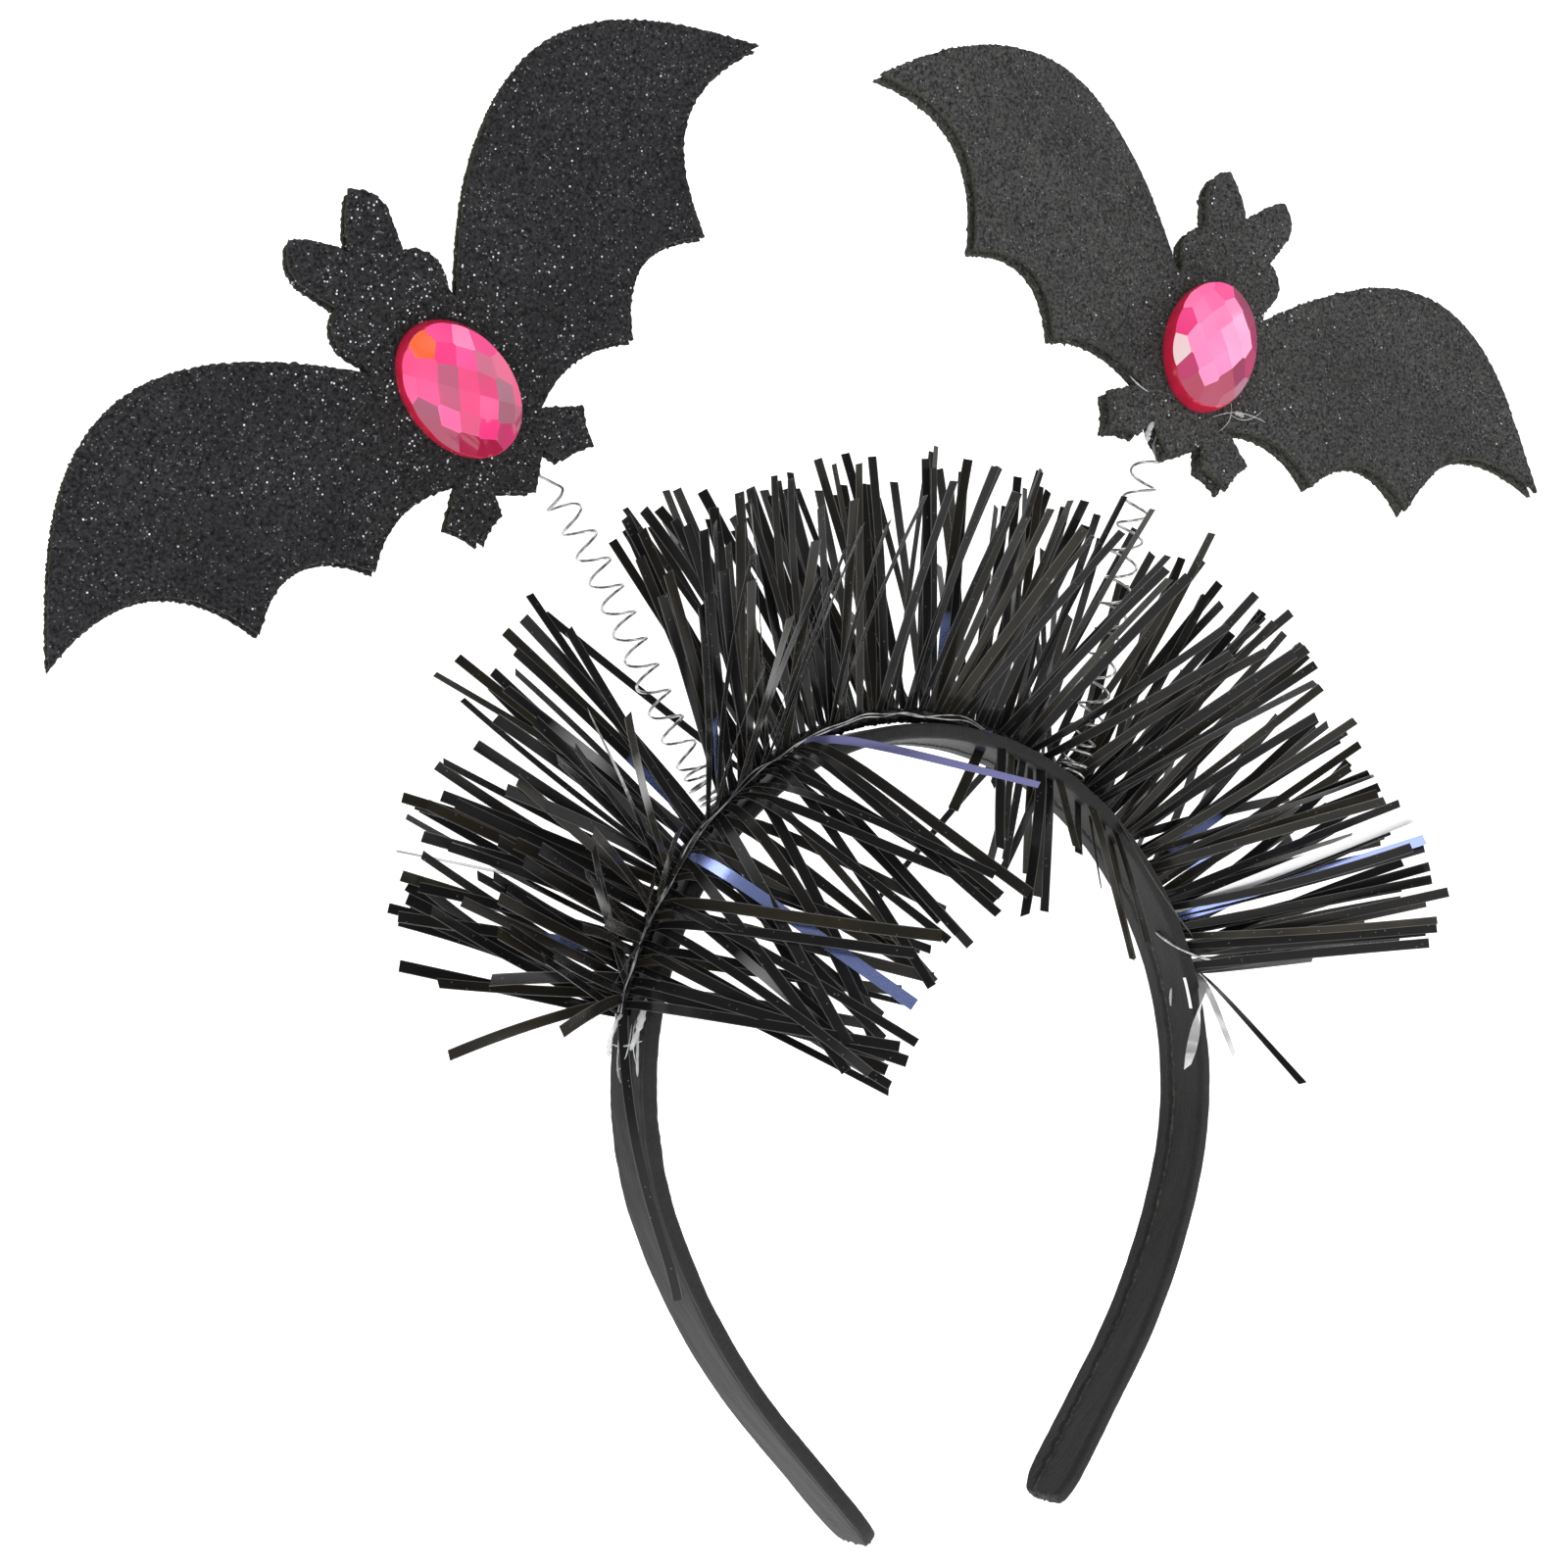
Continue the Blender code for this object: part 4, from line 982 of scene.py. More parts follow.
def bat_outline():
    """A bat's outline, anticlockwise from the tail's point: the feet, the wing's scallops, the
    cubic curve of its leading edge, the cheek and the ear, then the same mirrored."""
    corners = [((a * BODY_HALF_WIDTH, -b * TAIL_DROP), rise) for _, a, b, rise in FEET]
    corners += [((a * WING_REACH, b * WING_RISE), rise) for _, a, b, rise in WING]
    parts = [np.array([corners[0][0]])]
    for (start, _), (end, rise) in zip(corners, corners[1:]):
        parts.append(arc_to(np.array(start), np.array(end), rise))
    tip = parts[-1][-1]
    root = np.array((BODY_HALF_WIDTH, WING_ROOT_RISE * WING_RISE))
    handles = np.array(LEADING_EDGE_HANDLES) * (WING_REACH, WING_RISE)
    t = (np.arange(1, LEADING_EDGE_POINTS + 1) / LEADING_EDGE_POINTS)[:, None]
    s = 1.0 - t
    near_tip = s ** 3 * tip + 3.0 * s * s * t * handles[0]
    parts.append(near_tip + 3.0 * s * t * t * handles[1] + t ** 3 * root)
    for _, across, height, rise in HEAD:
        end = np.array((across * BODY_HALF_WIDTH, height * EAR_RISE))
        parts.append(arc_to(parts[-1][-1], end, rise))
    right = np.concatenate(parts)
    left = right[-2:0:-1] * (-1.0, 1.0)
    return np.concatenate([right, left])


def inside(outline, points):
    """Which points lie inside an outline: a line from each to the right crosses an odd number of
    its edges."""
    start, end = outline, np.roll(outline, -1, axis=0)
    x, z = points[:, 0, None], points[:, 1, None]
    spans = (start[:, 1] > z) != (end[:, 1] > z)
    drop = np.where(end[:, 1] == start[:, 1], 1.0, end[:, 1] - start[:, 1])
    crossing = start[:, 0] + (z - start[:, 1]) / drop * (end[:, 0] - start[:, 0])
    return (spans & (x < crossing)).sum(axis=1) % 2 == 1


def sheet_faces(outline, seed):
    """A flat net over an outline: its own points, then a lattice inside it, as points and
    triangles."""
    low, high = outline.min(axis=0), outline.max(axis=0)
    x, z = np.meshgrid(np.arange(low[0], high[0], GRID_STEP), np.arange(low[1], high[1], GRID_STEP))
    lattice = np.stack([x.ravel(), z.ravel()], axis=-1)
    jitter = np.random.default_rng(seed).uniform(-LATTICE_JITTER, LATTICE_JITTER, lattice.shape)
    lattice += jitter * GRID_STEP
    lattice = lattice[inside(outline, lattice)]
    gap = np.linalg.norm(lattice[:, None] - outline[None, ::2], axis=-1).min(axis=1)
    lattice = lattice[gap > 0.5 * GRID_STEP]
    points = np.concatenate([outline, lattice])
    rim = [list(range(len(outline)))]
    made = delaunay_2d_cdt([Vector(p) for p in points], [], rim, 1, 1e-9)
    assert len(made[0]) == len(points), "the net added points"
    order = np.array([sources[0] for sources in made[3]])
    triangles = order[np.array([list(face) for face in made[2]])]
    return points, triangles


def sheet_bend(x, z, sheet, front):
    """Depth of a sheet's middle at a place: each wing turns by its fold beyond the body, over a
    knee that is a parabola, and swells a little; the feet of a back sheet splay below the foot
    line."""
    beyond = np.abs(x) - FOLD_FROM_BODY
    reach = np.where(beyond > -FOLD_KNEE, (beyond + FOLD_KNEE) ** 2 / (4.0 * FOLD_KNEE), 0.0)
    reach = np.where(beyond > FOLD_KNEE, beyond, reach)
    fold = np.where(x < 0.0, *[math.tan(math.radians(a)) for a in sheet["folds"]])
    depth = -fold * reach
    swell = ripples(x / SWELL_LENGTH, 51, z / SWELL_LENGTH, waves=8)
    depth += SWELL_HEIGHT * swell * step_up(np.abs(x), *SWELL_FROM_BODY)
    if not front:
        low = np.maximum(0.0, -FOOT_LINE - z) * (np.abs(x) < FEET_REACH * BODY_HALF_WIDTH)
        depth = depth + math.tan(math.radians(sheet["splay"])) * low
    return depth


def add_sheet(name, side_name, front, finish, seed):
    """One foam sheet: a front and a back net joined by its cut edge, a strip of quads whose
    profile across the thickness bulges and crumbles. A back sheet rises over the wire by a
    hump."""
    bat, sheet = BATS[side_name], SHEETS[side_name]
    outline = bat_outline()
    tangent = unit(np.roll(outline, -1, axis=0) - np.roll(outline, 1, axis=0))
    normal = np.stack([tangent[:, 1], -tangent[:, 0]], axis=-1)
    length = np.cumsum(np.hypot(*np.diff(outline, axis=0, append=outline[:1]).T))
    nicks = ripples(length / NICK_LENGTH, seed)
    outline = outline + NICK_SHARE * sheet["crumb"] * nicks[:, None] * normal
    points, triangles = sheet_faces(outline, seed)
    crumbs = ripples(length[:, None] / CRUMB_LENGTH, seed + 1, EDGE_DEPTHS[None] * 1.6)
    push = EDGE_BULGES + sheet["crumb"] * crumbs * EDGE_CRUMBS
    rim = outline[:, None] + push[..., None] * normal[:, None]
    inner_face = -SEAT_GAP / 2.0 if front else SEAT_GAP / 2.0
    outer_face = inner_face + (-SHEET_THICKNESS if front else SHEET_THICKNESS)
    count = len(outline)
    rings, net = len(EDGE_DEPTHS), len(points) - count
    flat = np.concatenate([rim.transpose(1, 0, 2).reshape(-1, 2), points[count:], points[count:]])
    depth = np.concatenate([
        np.repeat(inner_face + (outer_face - inner_face) * EDGE_DEPTHS, count),
        np.full(net, inner_face), np.full(net, outer_face),
    ])
    slip = np.array((0.0, 0.0) if front else sheet["slip"])
    x, z = flat[:, 0], flat[:, 1]
    depth = depth + sheet_bend(x, z, sheet, front)
    if not front:
        over_wire = hump(x - bat["entry"] * BODY_HALF_WIDTH, WIRE_BULGE_WIDTH)
        depth = depth + WIRE_BULGE * over_wire * step_up(-z, *WIRE_BULGE_BELOW)
    local = np.stack([x + slip[0], depth, z + slip[1]], axis=-1)
    _, stone, rotation = bat_turns(bat)
    quads = tube_faces(rings, count)[0]
    past_rings = triangles + (rings - 1) * count
    first_net = np.where(triangles < count, triangles, past_rings)
    last_net = np.where(triangles < count, past_rings, past_rings + net)
    piece = add_piece(name, stone + local @ rotation.T, [quads, first_net, last_net[:, ::-1]],
                      finish, [f"bat_{side_name}_{'front' if front else 'back'}"],
                      sharp=50.0)
    near_body = hump(x, SPARKS_WIDTH) * hump(z - SPARKS_RISE, SPARKS_HEIGHT)
    add_attribute(piece, "near_body", near_body)
    cut = np.concatenate([np.repeat(EDGE_IS_CUT, count), np.zeros(2 * net)])
    add_attribute(piece, "cut_edge", cut)


FOAM_GRAIN = 0.00058
GLINT_SIZE = 0.00034
SPARK_SIZE = 0.00042
CUT_OLIVE = (0.050, 0.050, 0.030, 1.0)
# The colour of the glitter flakes' painted glints
FLAKE_GLINT = (0.95, 0.96, 1.0, 1.0)


def foam_finish(name, ground, light, sparks, glints):
    """Charcoal foam: grain that mixes two greys, and two sizes of glitter flake, cells of which a
    share gets a painted glint: sparks, more of them near the body, and faint glints all over."""
    foam = Finish(name, Roughness=0.85, Specular_IOR_Level=0.2)
    where = foam.place()
    near = foam.read("near_body")
    cut = foam.read("cut_edge")
    cloud = foam.noise(where, 0.018, detail=2.0)
    pores = foam.noise(where, FOAM_GRAIN, detail=3.0, roughness=0.75)
    colour = foam.mix(pores.between(0.36, 0.66) * (0.6 + 0.8 * cloud), ground, light)
    colour = foam.mix(cut * 0.6, colour, CUT_OLIVE)
    plain = 1.0 - 0.8 * cut
    # Painted glints: the glitter's real flakes are drawn as pale dots in the colour
    for size, share, brightest in (
        (GLINT_SIZE, glints * plain * (0.6 + 0.8 * cloud), 0.24),
        (SPARK_SIZE, sparks * plain * (0.15 + 2.6 * near), 1.0),
    ):
        chance_of = foam.node("ShaderNodeSeparateColor", {}, {0: foam.grains(where, size, "Color")})
        dot = foam.grains(where, size, "Distance").between(0.44, 0.34)
        lit = dot * chance_of.above(1.0 - share)
        level = foam.noise(where, 3.0 * size, detail=0.0) * brightest
        colour = foam.mix(lit * level * 1.6, colour, FLAKE_GLINT)
    foam.feed("Base Color", colour)
    foam.feed("Normal", foam.bump(pores, 0.00016, 0.8))
    return foam


glitter_foam = foam_finish("glitter_foam", ground=(0.000, 0.000, 0.001, 1.0),
                           light=(0.043, 0.0435, 0.0455, 1.0), sparks=0.030, glints=0.08)
felt_foam = foam_finish("felt_foam", ground=(0.007, 0.007, 0.007, 1.0),
                        light=(0.092, 0.092, 0.090, 1.0), sparks=0.006, glints=0.04)
for number, (side_name, finish) in enumerate((("left", glitter_foam), ("right", felt_foam))):
    seed = 60 + 10 * number
    add_sheet(f"bat_sheet_{side_name}_front", side_name, True, finish, seed)
    add_sheet(f"bat_sheet_{side_name}_back", side_name, False, finish, seed + 4)


# Stones: oval flat-backed acrylic stones, 18 x 25 mm, moulded with a smooth rounded rim and a
# chequer of flat facets on the crown, silvered behind, and glued to the front sheets. The facets'
# shades, a lamp's reflection on one facet, the darker rim and a faint glow are painted into the
# colour.
STONE_WIDTH = 0.018
STONE_LENGTH = 0.025
STONE_HEIGHT = 0.0062
STONE_GAP = 0.0003
GIRDLE_HEIGHT = 0.0011
# The girdle's foot is narrower than the girdle by a share, over a rise in metres
FOOT_SHARE = 0.96
FOOT_RISE = 0.0002
CROWN_POWER = 2.4
CROWN_OVERSIZE = 1.16
# The crown's height falls from its middle by these shares of itself, times the square and the
# fourth power of the share of the way out
BOWL_SQUARE = 0.34
BOWL_FOURTH = 0.20
FACET_STEP = 0.31
FACET_REACH = 0.97
MIDDLE_REACH = 0.60
STONE_SIDES = 96
STONE_RINGS = 18
HALF_OVAL = np.array((STONE_WIDTH / 2.0, STONE_LENGTH / 2.0))


def dome_solid():
    """The uncut stone, an oval: an upright girdle under a crown whose radius and height, as shares
    of their greatest and each to the crown's power, add up to one."""
    climb = np.sin(np.linspace(0.0, np.pi / 2.0, STONE_RINGS))
    radius = (1.0 - np.minimum(climb, 0.995) ** CROWN_POWER) ** (1.0 / CROWN_POWER)
    height = GIRDLE_HEIGHT + (CROWN_OVERSIZE * STONE_HEIGHT - GIRDLE_HEIGHT) * climb
    radius = np.concatenate([[FOOT_SHARE, 1.0], radius])
    height = np.concatenate([[0.0, FOOT_RISE], height])
    way = round_way(STONE_SIDES)
    ring = np.stack([np.cos(way) * HALF_OVAL[0], 0.0 * way, np.sin(way) * HALF_OVAL[1]], axis=-1)
    return radius[:, None, None] * ring[None] - height[:, None, None] * TO_BACK


def facet_places():
    """Places of the facets' middles on the crown: a square lattice turned by 45 degrees and then
    stretched with the oval, which it stays inside."""
    count = np.arange(-6, 7)
    i, j = (part.ravel() for part in np.meshgrid(count, count))
    x = (i - j + 0.5) * FACET_STEP / math.sqrt(2.0)
    z = (i + j + 0.5) * FACET_STEP / math.sqrt(2.0)
    inside_oval = np.hypot(x, z) < FACET_REACH
    return (np.stack([x, z], axis=-1) * HALF_OVAL)[inside_oval]


# How each stone's facets are painted, their shades standing in for the light that the stone bends
# and mirrors: the tone of its middle and its spread, the side of the facet that gets a painted
# reflection of a lamp, that facet's tone past the pinks, orange or white, and how far the stone was
# turned to the left when it was glued, in degrees
LOOKS = {
    "left": {"middle": 0.52, "spread": 0.16, "side": 138.0, "lamp": 1.22, "slant": 0.0},
    "right": {"middle": 0.91, "spread": 0.03, "side": 186.0, "lamp": 1.46, "slant": 6.0},
}
# Painted shading round the rim by the side of each facet as seen from the front: lighter at the top,
# darker at the lower left
SIDE_ANGLES = (0.0, 45.0, 80.0, 115.0, 150.0, 200.0, 235.0, 270.0, 310.0, 360.0)
PAINTED_SIDE_SHADES = (0.42, 0.36, 0.80, 0.84, 0.58, 0.56, 0.20, 0.26, 0.36, 0.42)


def painted_facet_shades(places, rotation, look):
    """Painted shade of each facet: pink ones in the middle, and toward the rim the painted
    shading of its side as it is seen from the front, level with the right first and then
    anticlockwise. One facet on the lamp's side gets a painted lamp reflection."""
    x, z = places.T
    flat = np.stack([x, 0.0 * x, z], axis=-1) @ rotation.T
    side = np.degrees(np.arctan2(flat[:, 2], flat[:, 0])) % 360.0
    share = np.hypot(x / HALF_OVAL[0], z / HALF_OVAL[1])
    outer = np.interp(side, SIDE_ANGLES, PAINTED_SIDE_SHADES)
    tones = np.where(share < MIDDLE_REACH, look["middle"] + 0.08 * z / STONE_LENGTH, outer)
    tones = tones + look["spread"] * np.random.default_rng(7).uniform(-1.0, 1.0, len(tones))
    off = np.abs((side - look["side"] + 180.0) % 360.0 - 180.0)
    tones = np.clip(tones, 0.05, 1.0)
    # The outer facet nearest the lamp's side gets the painted orange or white reflection of the lamp
    tones[np.argmin(np.where(share > MIDDLE_REACH, off, 360.0))] = look["lamp"]
    return tones


def add_stone(side_name, finish):
    """A stone cut from the dome by the planes that touch the crown's bowl at each facet's middle.
    A plane's slope is the bowl's: twice the square's share plus four times the fourth power's
    times the square of the way out."""
    grid = dome_solid()
    rows, columns = grid.shape[:2]
    points = tube_points(grid[None])[0]
    faces = [face.tolist() for part in tube_faces(rows, columns) for face in part]
    mesh = bpy.data.meshes.new(f"stone_{side_name}")
    mesh.from_pydata(points.tolist(), [], faces)
    bm = bmesh.new()
    bm.from_mesh(mesh)
    bmesh.ops.recalc_face_normals(bm, faces=bm.faces)
    facet = bm.faces.layers.int.new("facet_number")
    for face in bm.faces:
        face.smooth = True
    for number, place in enumerate(facet_places(), start=1):
        share = place / HALF_OVAL
        out = (share ** 2).sum()
        height = STONE_HEIGHT * (1.0 - BOWL_SQUARE * out - BOWL_FOURTH * out ** 2)
        slope = STONE_HEIGHT * (2.0 * BOWL_SQUARE + 4.0 * BOWL_FOURTH * out) * share / HALF_OVAL
        everything = bm.verts[:] + bm.edges[:] + bm.faces[:]
        cut = bmesh.ops.bisect_plane(
            bm, geom=everything, dist=1e-7, plane_co=(place[0], -height, place[1]),
            plane_no=(slope[0], -1.0, slope[1]), clear_outer=True)
        edges = [part for part in cut["geom_cut"] if isinstance(part, bmesh.types.BMEdge)]
        made = bmesh.ops.edgenet_fill(bm, edges=edges)["faces"]
        for face in made:
            face.smooth = False
            face[facet] = number
    bmesh.ops.recalc_face_normals(bm, faces=bm.faces)
    bm.to_mesh(mesh)
    bm.free()
    mesh.materials.append(finish.material)
    _, stone, rotation = bat_turns(BATS[side_name])
    lift = rotation @ np.array((0.0, -SEAT_GAP / 2.0 - SHEET_THICKNESS - STONE_GAP, 0.0))
    count = len(mesh.vertices)
    place = np.empty(count * 3)
    mesh.vertices.foreach_get("co", place)
    place = place.reshape(-1, 3)
    slant = np.array(Matrix.Rotation(-math.radians(LOOKS[side_name]["slant"]), 3, "Y"))
    corner_points = np.empty(len(mesh.loops), int)
    mesh.loops.foreach_get("vertex_index", corner_points)
    chart = mesh.uv_layers.new(name="stone_face")
    chart.data.foreach_set("uv", place[corner_points][:, (0, 2)].astype(np.float32).ravel())
    mesh.vertices.foreach_set("co", (stone + lift + place @ slant.T @ rotation.T).ravel())
    numbers = np.empty(len(mesh.polygons), int)
    mesh.attributes["facet_number"].data.foreach_get("value", numbers)
    # Each facet's painted shading goes into a face attribute
    tones = np.concatenate([[0.0], painted_facet_shades(facet_places(), rotation, LOOKS[side_name])])
    tone = mesh.attributes.new("facet_tone", "FLOAT", "FACE")
    tone.data.foreach_set("value", tones[numbers].astype(np.float32))
    mesh.attributes.remove(mesh.attributes["facet_number"])
    mesh.update()
    piece = add_object(f"stone_{side_name}", mesh)
    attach(piece, "root")
    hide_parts(f"gem_{side_name}")


acrylic = Finish("pink_acrylic", Roughness=0.04, IOR=1.49, Coat_Weight=0.3, Coat_Roughness=0.02)
chart = acrylic.node("ShaderNodeUVMap", {"uv_map": "stone_face"}, {})
tone = acrylic.read("facet_tone")
depths = acrylic.noise(chart, 0.006, detail=0.0)
# Colours at painted shades: dark reds, mauves and hot pinks, then the orange and the white of a
# painted lamp reflection
TOP_TONE = 1.5
PINKS = (
    (0.0, (0.30, 0.008, 0.030, 1.0)), (0.20, (0.36, 0.015, 0.060, 1.0)),
    (0.34, (0.28, 0.060, 0.125, 1.0)), (0.44, (0.48, 0.055, 0.150, 1.0)),
    (0.54, (0.80, 0.030, 0.180, 1.0)), (0.74, (1.0, 0.120, 0.360, 1.0)),
    (1.0, (1.0, 0.330, 0.580, 1.0)), (1.1, (1.0, 0.330, 0.580, 1.0)),
    (1.22, (1.0, 0.120, 0.030, 1.0)), (1.45, (0.80, 0.60, 0.62, 1.0)),
)
stops = [(place / TOP_TONE, colour) for place, colour in PINKS]
cloudy_tone = (tone + 0.12 * (depths - 0.5)) / TOP_TONE
crown = acrylic.node("ShaderNodeValToRGB", {"stops": stops}, {0: cloudy_tone}, "Color")
# The smooth rim is painted in darker reds: painted shade
rim = acrylic.mix(acrylic.noise(chart, 0.004), (0.30, 0.007, 0.024, 1.0), (0.60, 0.014, 0.06, 1.0))
colour = acrylic.mix(1.0 - tone.above(0.0001), crown, rim)
acrylic.feed("Base Color", colour)
# A painted glow: the stone faintly gives off its own colour, as if lit from inside
acrylic.feed("Emission Color", colour)
acrylic.feed("Emission Strength", 0.12)
for side_name in BATS:
    add_stone(side_name, acrylic)


# Glue and loose ends: the maker's hot glue left strings and drops by the right stone, round the
# right spring's top and over the garland's left end. One foil strip came loose down the left leg,
# and a bright wire end and a flake of silver foil stick to the right one.
STRING_ROWS = 26
STRING_SIDES = 8
STRING_LUMPS = 0.22
MILLIMETRES = 1000.0
ASKEW = np.array((0.3, 0.2, 0.93))
# Places on the right bat: across, depth and up from its stone, in millimetres, then the radius
BAT_STRINGS = (
    (((5.5, -1.3, -11.5), (9.0, -2.2, -8.0), (12.0, -1.8, -7.5), (16.5, -1.25, -7.0)), 0.08),
    (((7.0, -1.3, -5.5), (10.5, -2.0, -9.5), (7.5, -1.6, -13.5)), 0.07),
    (((8.5, -1.3, -9.0), (12.5, -1.9, -10.5), (15.0, -1.3, -5.0)), 0.07),
    (((9.5, -1.3, -8.5), (10.5, -1.5, -8.0), (11.5, -1.3, -8.4)), 0.42),
    (((-12.5, -1.3, -12.0), (-10.0, -2.0, -13.5), (-8.0, -1.3, -13.0)), 0.12),
    (((-4.8, -0.6, -21.5), (-5.6, -0.7, -19.5), (-5.0, -0.8, -17.5)), 0.55),
)
# Places on the hoop: run from the arch's top, side toward the back and rise above the inner face
HOOP_STRINGS = (
    (((-79.0, 3.5, 3.2), (-82.0, -1.0, 4.6), (-85.0, 2.0, 3.2), (-89.0, 0.5, 3.0)), 0.50),
    (((-78.0, -4.5, 3.3), (-83.0, -5.6, 4.0), (-86.0, -2.0, 3.4)), 0.55),
    (((-80.0, 0.0, 4.4), (-84.5, 4.5, 4.2), (-87.0, 5.4, 3.0)), 0.42),
    (((-80.5, 5.0, 3.6), (-82.5, 8.0, 5.5), (-80.0, 9.5, 7.5)), 0.09),
    (((-82.0, 4.0, 3.4), (-85.0, 7.5, 4.6), (-85.5, 9.0, 6.6)), 0.08),
    (((-81.0, -3.0, 3.4), (-84.0, -6.5, 6.5), (-88.0, -5.0, 4.0)), 0.10),
    (((-83.0, -3.5, 3.1), (-86.5, -4.6, 3.6), (-90.0, -3.8, 2.9)), 0.22),
    (((-84.0, 1.8, 3.1), (-88.0, 2.8, 3.4), (-91.0, 1.4, 2.9)), 0.18),
    (((-82.0, -1.5, 3.4), (-87.0, -3.0, 4.0), (-89.0, 2.0, 3.0)), 0.12),
    (((-85.0, 4.6, 3.0), (-86.0, 0.0, 4.2), (-84.5, -4.8, 3.0)), 0.16),
    (((80.5, -0.8, -0.1), (82.0, -0.2, -0.3), (84.0, 0.4, -0.1)), 0.26),
)


def bezier(controls):
    """A Bezier curve in metres of control points in millimetres: each point counts for
    C(n, k) t^k (1 - t)^(n - k)."""
    last = len(controls) - 1
    power = np.arange(last + 1)
    t = np.linspace(0.0, 1.0, STRING_ROWS)[:, None]
    choices = np.array([math.comb(last, k) for k in power])
    weights = choices * t ** power * (1.0 - t) ** (last - power)
    return weights @ np.array(controls) / MILLIMETRES


def string_tube(line, radius, seed):
    """A lumpy string of glue with thin ends round a line, its radius in millimetres."""
    share = np.linspace(0.0, 1.0, STRING_ROWS)
    taper = np.sqrt(np.maximum(1.0 - (2.0 * share - 1.0) ** 4, 0.02))
    lumpy = 1.0 + STRING_LUMPS * ripples(share * 5.0, seed)
    radii = radius / MILLIMETRES * taper * lumpy
    return sweep(line, radii[:, None], STRING_SIDES, ASKEW)


glue = Finish("hot_glue", Roughness=0.18, IOR=1.48, Alpha=0.50)
milk = glue.noise(glue.place(), 0.0012)
glue.feed("Base Color", glue.mix(milk, (0.62, 0.64, 0.66, 1.0), (0.92, 0.92, 0.92, 1.0)))
_, stone, rotation = bat_turns(BATS["right"])
strings = [
    string_tube(stone + bezier(controls) @ rotation.T, radius, 80 + seed)
    for seed, (controls, radius) in enumerate(BAT_STRINGS)
]
strings += [
    string_tube(on_hoop(*bezier(controls).T), radius, 90 + seed)
    for seed, (controls, radius) in enumerate(HOOP_STRINGS)
]
add_tubes("glue_strings", np.stack(strings), glue, ())

wire_end = bezier(((69.0, -1.5, -0.3), (71.0, -3.8, -0.9), (72.5, -6.6, -0.8), (76.0, -6.6, 2.5),
                   (77.0, -6.2, 6.5)))
wire_end = sweep(on_hoop(*wire_end.T), WIRE_GAUGE / 2.0, WIRE_SIDES, ASKEW)
add_tubes("wire_end", wire_end[None], steel, ())


def laid_strip(controls, width, tilt):
    """A strip that lies along the hoop: a Bezier curve of runs, sides and rises, widened to both
    sides, its back edge raised by tilt times the distance."""
    run, side, rise = bezier(controls).T
    half, thin = width / 2.0, STRIP_THICKNESS / 2.0
    corners = ((-half, -thin), (half, -thin), (half, thin), (-half, thin))
    return np.stack([on_hoop(run, side + a, rise + b + tilt * a) for a, b in corners], axis=1)


laid = np.stack([
    laid_strip(((-80.0, 0.5, 4.2), (-92.0, -1.0, 2.7), (-106.0, -5.2, 3.4), (-118.0, -4.4, 2.8),
                (-126.0, -1.2, 3.4)), 0.0018, 0.5),
    laid_strip(((78.5, -5.0, -0.2), (81.0, -5.4, -0.5), (84.5, -5.0, -0.2)), 0.0007, 0.0),
])
add_strips("loose_strips", laid, (0.0, SILVER_HUE))


# Studio: a pale seamless sweep under soft boxes, which the camera meets as the photograph does,
# 35 degrees round from the front to the wearer's right and 4 degrees from below. Its place is in
# metres, its lens and sensor in millimetres, and its angles in degrees.
LENS = 54.0
SENSOR = 36.0
CAMERA_PLACE = (-0.2583, -0.3298, -0.0386)
CAMERA_AZIMUTH = 34.81
CAMERA_ELEVATION = -4.38
CAMERA_ROLL = -2.56
FLOOR_HEIGHT = -0.23
# The sweep's run from front to back before it curves up, its curve, its top and its sides
SWEEP_FRONT = -2.5
SWEEP_BACK = 1.2
SWEEP_RADIUS = 1.2
SWEEP_TOP = 3.5
SWEEP_SIDES = (-4.0, 4.0)
# Each soft box's place, size in metres and power in watts; all face the origin
SOFT_BOXES = {
    "key_box": ((-1.15, -0.55, 0.95), 0.9, 9.0),
    "fill_box": ((0.95, -0.9, 0.45), 0.8, 4.5),
    "top_box": ((0.1, 0.25, 1.25), 0.9, 7.0),
    "rim_box": ((0.9, 0.9, 0.5), 0.7, 4.0),
}


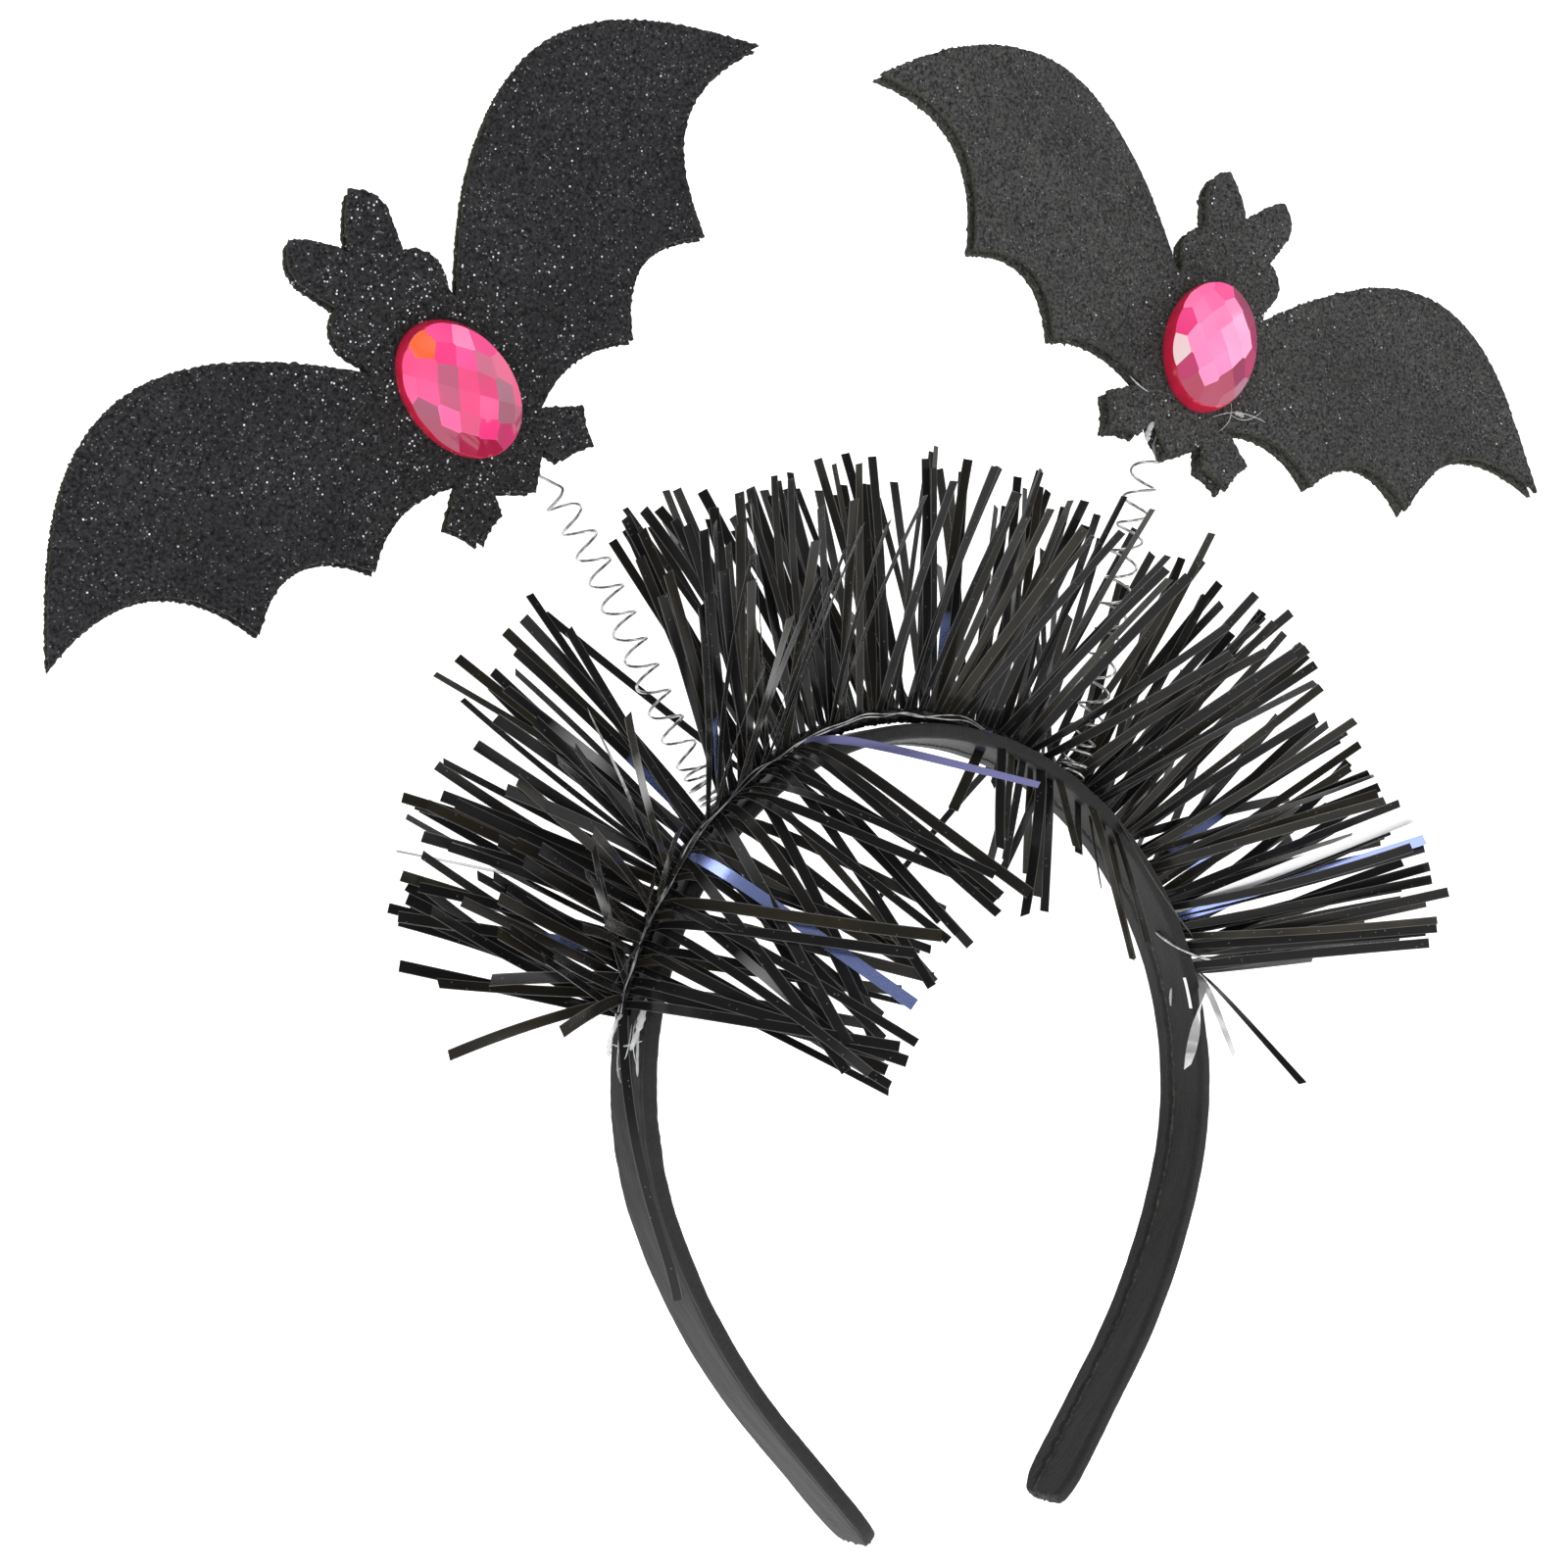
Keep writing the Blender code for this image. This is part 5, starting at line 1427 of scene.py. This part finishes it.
def add_stage(name, x_run, profile, finish):
    """A seamless sweep: one profile of depth and height carried across from side to side."""
    across = np.linspace(*x_run, 3)[:, None]
    grid = np.stack(np.broadcast_arrays(across, *profile.T[:, None]), axis=-1)
    index = np.arange(3 * len(profile)).reshape(3, len(profile))
    quads = np.stack([index[:-1, :-1], index[1:, :-1], index[1:, 1:], index[:-1, 1:]], axis=-1)
    mesh = bpy.data.meshes.new(name)
    mesh.from_pydata(grid.reshape(-1, 3).tolist(), [], quads.reshape(-1, 4).tolist())
    mesh.shade_smooth()
    mesh.materials.append(finish.material)
    piece = add_object(name, mesh)
    piece.rotation_euler = (0.0, 0.0, -math.radians(CAMERA_AZIMUTH))


paper = Finish("white_paper", Roughness=0.9, Emission_Strength=0.80)
paper.feed("Emission Color", (1.0, 1.0, 1.0, 1.0))
shade = paper.noise(paper.place(), 0.5)
paper.feed("Base Color", paper.mix(shade, (0.90, 0.90, 0.90, 1.0), (0.93, 0.93, 0.93, 1.0)))
bend = np.linspace(0.0, np.pi / 2.0, 24)
curve = np.stack([SWEEP_BACK + SWEEP_RADIUS * np.sin(bend),
                  FLOOR_HEIGHT + SWEEP_RADIUS * (1.0 - np.cos(bend))], axis=-1)
profile = np.concatenate([[(SWEEP_FRONT, FLOOR_HEIGHT)], curve, [(curve[-1, 0], SWEEP_TOP)]])
add_stage("seamless_sweep", SWEEP_SIDES, profile, paper)

world = bpy.data.worlds.new("soft_room")
world.use_nodes = True
background = world.node_tree.nodes["Background"].inputs
background["Color"].default_value = (1.0, 1.0, 1.0, 1.0)
background["Strength"].default_value = 0.22
bpy.context.scene.world = world
for name, (place, size, power) in SOFT_BOXES.items():
    lamp = bpy.data.lights.new(name, "AREA")
    lamp.shape = "SQUARE"
    lamp.size = size
    lamp.energy = power
    light = add_object(name, lamp)
    light.location = place
    light.rotation_euler = (-Vector(place)).to_track_quat("-Z", "Y").to_euler()

lens = bpy.data.cameras.new("camera")
lens.lens = LENS
lens.sensor_width = SENSOR
lens.clip_start = 0.01
camera = add_object("camera", lens)
camera.matrix_world = (
    Matrix.Translation(CAMERA_PLACE)
    @ Matrix.Rotation(-math.radians(CAMERA_AZIMUTH), 4, "Z")
    @ Matrix.Rotation(math.radians(90.0 - CAMERA_ELEVATION), 4, "X")
    @ Matrix.Rotation(math.radians(CAMERA_ROLL), 4, "Z")
)
bpy.context.scene.camera = camera
bpy.context.scene.view_settings.view_transform = "Standard"
